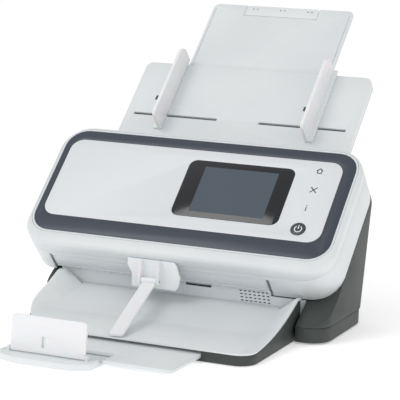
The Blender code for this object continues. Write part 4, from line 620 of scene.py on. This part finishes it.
class SCANNER_OT_exit(ScannerPiece, bpy.types.Operator):
    """Exit panel with its speaker slots, the output guide and the hold-down arm"""
    bl_idname = "scanner.exit"
    bl_label = "Paper exit"

    def execute(self, context):
        dress("exit_panel", moulded_grey())
        refine("output_guide", frosted_plastic(), sizes().small_edge)
        refine("hold_down_arm", frosted_plastic(), sizes().small_edge)
        dress("arm_pin", bright_steel())
        return {"FINISHED"}


class SCANNER_OT_output(ScannerPiece, bpy.types.Operator):
    """Output tray, its dark shell, the pull-out extension and the end stop"""
    bl_idname = "scanner.output"
    bl_label = "Output tray"

    def execute(self, context):
        refine("output_tray", moulded_white(), sizes().small_edge, FINE_SEGMENTS)
        refine("tray_shell", dark_casing(), sizes().small_edge, FINE_SEGMENTS)
        refine("output_extension", moulded_white(), sizes().small_edge, FINE_SEGMENTS)
        refine("extension_tongue", moulded_white(), sizes().small_edge, FINE_SEGMENTS)
        refine("end_stop", frosted_plastic(), sizes().small_edge, FINE_SEGMENTS)
        return {"FINISHED"}


class SCANNER_OT_base(ScannerPiece, bpy.types.Operator):
    """Dark housing, base pan, ports and feet"""
    bl_idname = "scanner.base"
    bl_label = "Base"

    def execute(self, context):
        refine("rear_housing", dark_casing(), sizes().casing_edge, FINE_SEGMENTS)
        refine("base_pan", dark_casing(), sizes().casing_edge, FINE_SEGMENTS)
        dress("power_inlet", black_moulding())
        dress("usb_port", black_moulding())
        for node in ("foot_front_left", "foot_front_right", "foot_rear_left", "foot_rear_right"):
            refine(node, roller_rubber(), sizes().small_edge, FINE_SEGMENTS)
        return {"FINISHED"}


class SCANNER_OT_input(ScannerPiece, bpy.types.Operator):
    """Input tray, side guides, extension and flip tab"""
    bl_idname = "scanner.input"
    bl_label = "Input tray"

    def execute(self, context):
        edge = sizes().casing_edge
        refine("input_tray", moulded_white(), sizes().small_edge, FINE_SEGMENTS)
        refine("tray_back_cover", moulded_white(), edge)
        refine("guide_left", frosted_plastic(), edge)
        refine("guide_right", frosted_plastic(), edge)
        refine("input_extension", moulded_white(), sizes().small_edge, FINE_SEGMENTS)
        refine("flip_tab", moulded_white(), sizes().small_edge, FINE_SEGMENTS)
        dress("guide_pinion", moulded_grey())
        dress("tray_pin_left", bright_steel())
        dress("tray_pin_right", bright_steel())
        return {"FINISHED"}


class SCANNER_OT_marks(ScannerPiece, bpy.types.Operator):
    """Size marks and grip dots printed or moulded on the input tray's surfaces"""
    bl_idname = "scanner.marks"
    bl_label = "Tray marks"

    TRAY_DEEP = 32.0 * MM
    TAB_DEEP = 34.85 * MM
    TICKS = ((-95.3 * MM, 199.0 * MM), (63.9 * MM, 199.7 * MM))
    TICK_HALF = (1.2 * MM, 2.8 * MM)
    DOT_ROWS = (-30.0 * MM, 0.0, 30.0 * MM)
    DOT_V = 331.5 * MM
    DOT_RADIUS = 0.8 * MM
    DOT_SPREAD = 2.2 * MM
    DOT_STEPS = 16

    def execute(self, context):
        for index, (u, v) in enumerate(self.TICKS):
            across, along = self.TICK_HALF
            outline = [(-across, -along), (across, -along), (across, along), (-across, along)]
            flat_print(f"size_mark_{index}", outline, [], on_face(u, v, PRINT_LIFT - self.TRAY_DEEP),
                       body_of_node("input_tray"), screen_ink())
        # Each grip dot is a flat disc in the shaded joint grey: painted shade standing in for the shade in
        # the dot.
        for row, u in enumerate(self.DOT_ROWS):
            for side in (-1, 1):
                dot = ring_points(self.DOT_RADIUS, 0, 360 - 360 / self.DOT_STEPS, self.DOT_STEPS - 1)
                place = on_face(u + side * self.DOT_SPREAD, self.DOT_V, PRINT_LIFT - self.TAB_DEEP)
                flat_print(f"shaded_grip_dot_{row}_{side + 1}", dot, [], place, body_of_node("flip_tab"),
                           joint_shade())
        return {"FINISHED"}


class SCANNER_OT_works(ScannerPiece, bpy.types.Operator):
    """Rollers, scanning glasses, boards and hinge plates inside"""
    bl_idname = "scanner.works"
    bl_label = "Inner works"

    def execute(self, context):
        refine("paper_guide", moulded_grey(), sizes().small_edge, FINE_SEGMENTS)
        for node in ("feed_roller", "drive_roller", "exit_roller", "separation_roller"):
            refine(node, roller_rubber(), sizes().small_edge, FINE_SEGMENTS)
        for node in ("hinge_plate_left", "hinge_plate_right", "cover_pin_left", "cover_pin_right",
                     "drive_motor"):
            dress(node, bright_steel())
        for node in ("lower_scan_glass", "upper_scan_glass"):
            dress(node, scan_glass())
        for node in ("lower_sensor_bar", "upper_sensor_bar", "speaker", "display_module"):
            dress(node, black_moulding())
        for node in ("main_board", "key_board"):
            dress(node, green_board())
        return {"FINISHED"}


OPERATORS = (SCANNER_OT_stage, SCANNER_OT_cover, SCANNER_OT_panel, SCANNER_OT_exit, SCANNER_OT_output,
             SCANNER_OT_base, SCANNER_OT_input, SCANNER_OT_marks, SCANNER_OT_works)


class SCANNER_PT_panel(bpy.types.Panel):
    """Lists the scanner's pieces and their values"""
    bl_label = "Document scanner"
    bl_idname = "SCANNER_PT_panel"
    bl_space_type = "VIEW_3D"
    bl_region_type = "UI"
    bl_category = "Scanner"

    def draw(self, context):
        layout = self.layout
        for group in (context.scene.scanner_colours, context.scene.scanner_sizes):
            for name in group.__annotations__:
                layout.prop(group, name)
        for operator in OPERATORS:
            layout.operator(operator.bl_idname)


CLASSES = (ScannerColours, ScannerSizes) + OPERATORS + (SCANNER_PT_panel,)


def register():
    for item in CLASSES:
        bpy.utils.register_class(item)
    bpy.types.Scene.scanner_colours = bpy.props.PointerProperty(type=ScannerColours)
    bpy.types.Scene.scanner_sizes = bpy.props.PointerProperty(type=ScannerSizes)


def unregister():
    del bpy.types.Scene.scanner_sizes
    del bpy.types.Scene.scanner_colours
    for item in reversed(CLASSES):
        bpy.utils.unregister_class(item)


def main():
    register()
    deselect()
    bpy.ops.scanner.stage()
    bpy.ops.scanner.cover()
    bpy.ops.scanner.panel()
    bpy.ops.scanner.exit()
    bpy.ops.scanner.output()
    bpy.ops.scanner.base()
    bpy.ops.scanner.input()
    bpy.ops.scanner.marks()
    bpy.ops.scanner.works()


if __name__ == "__main__":
    main()
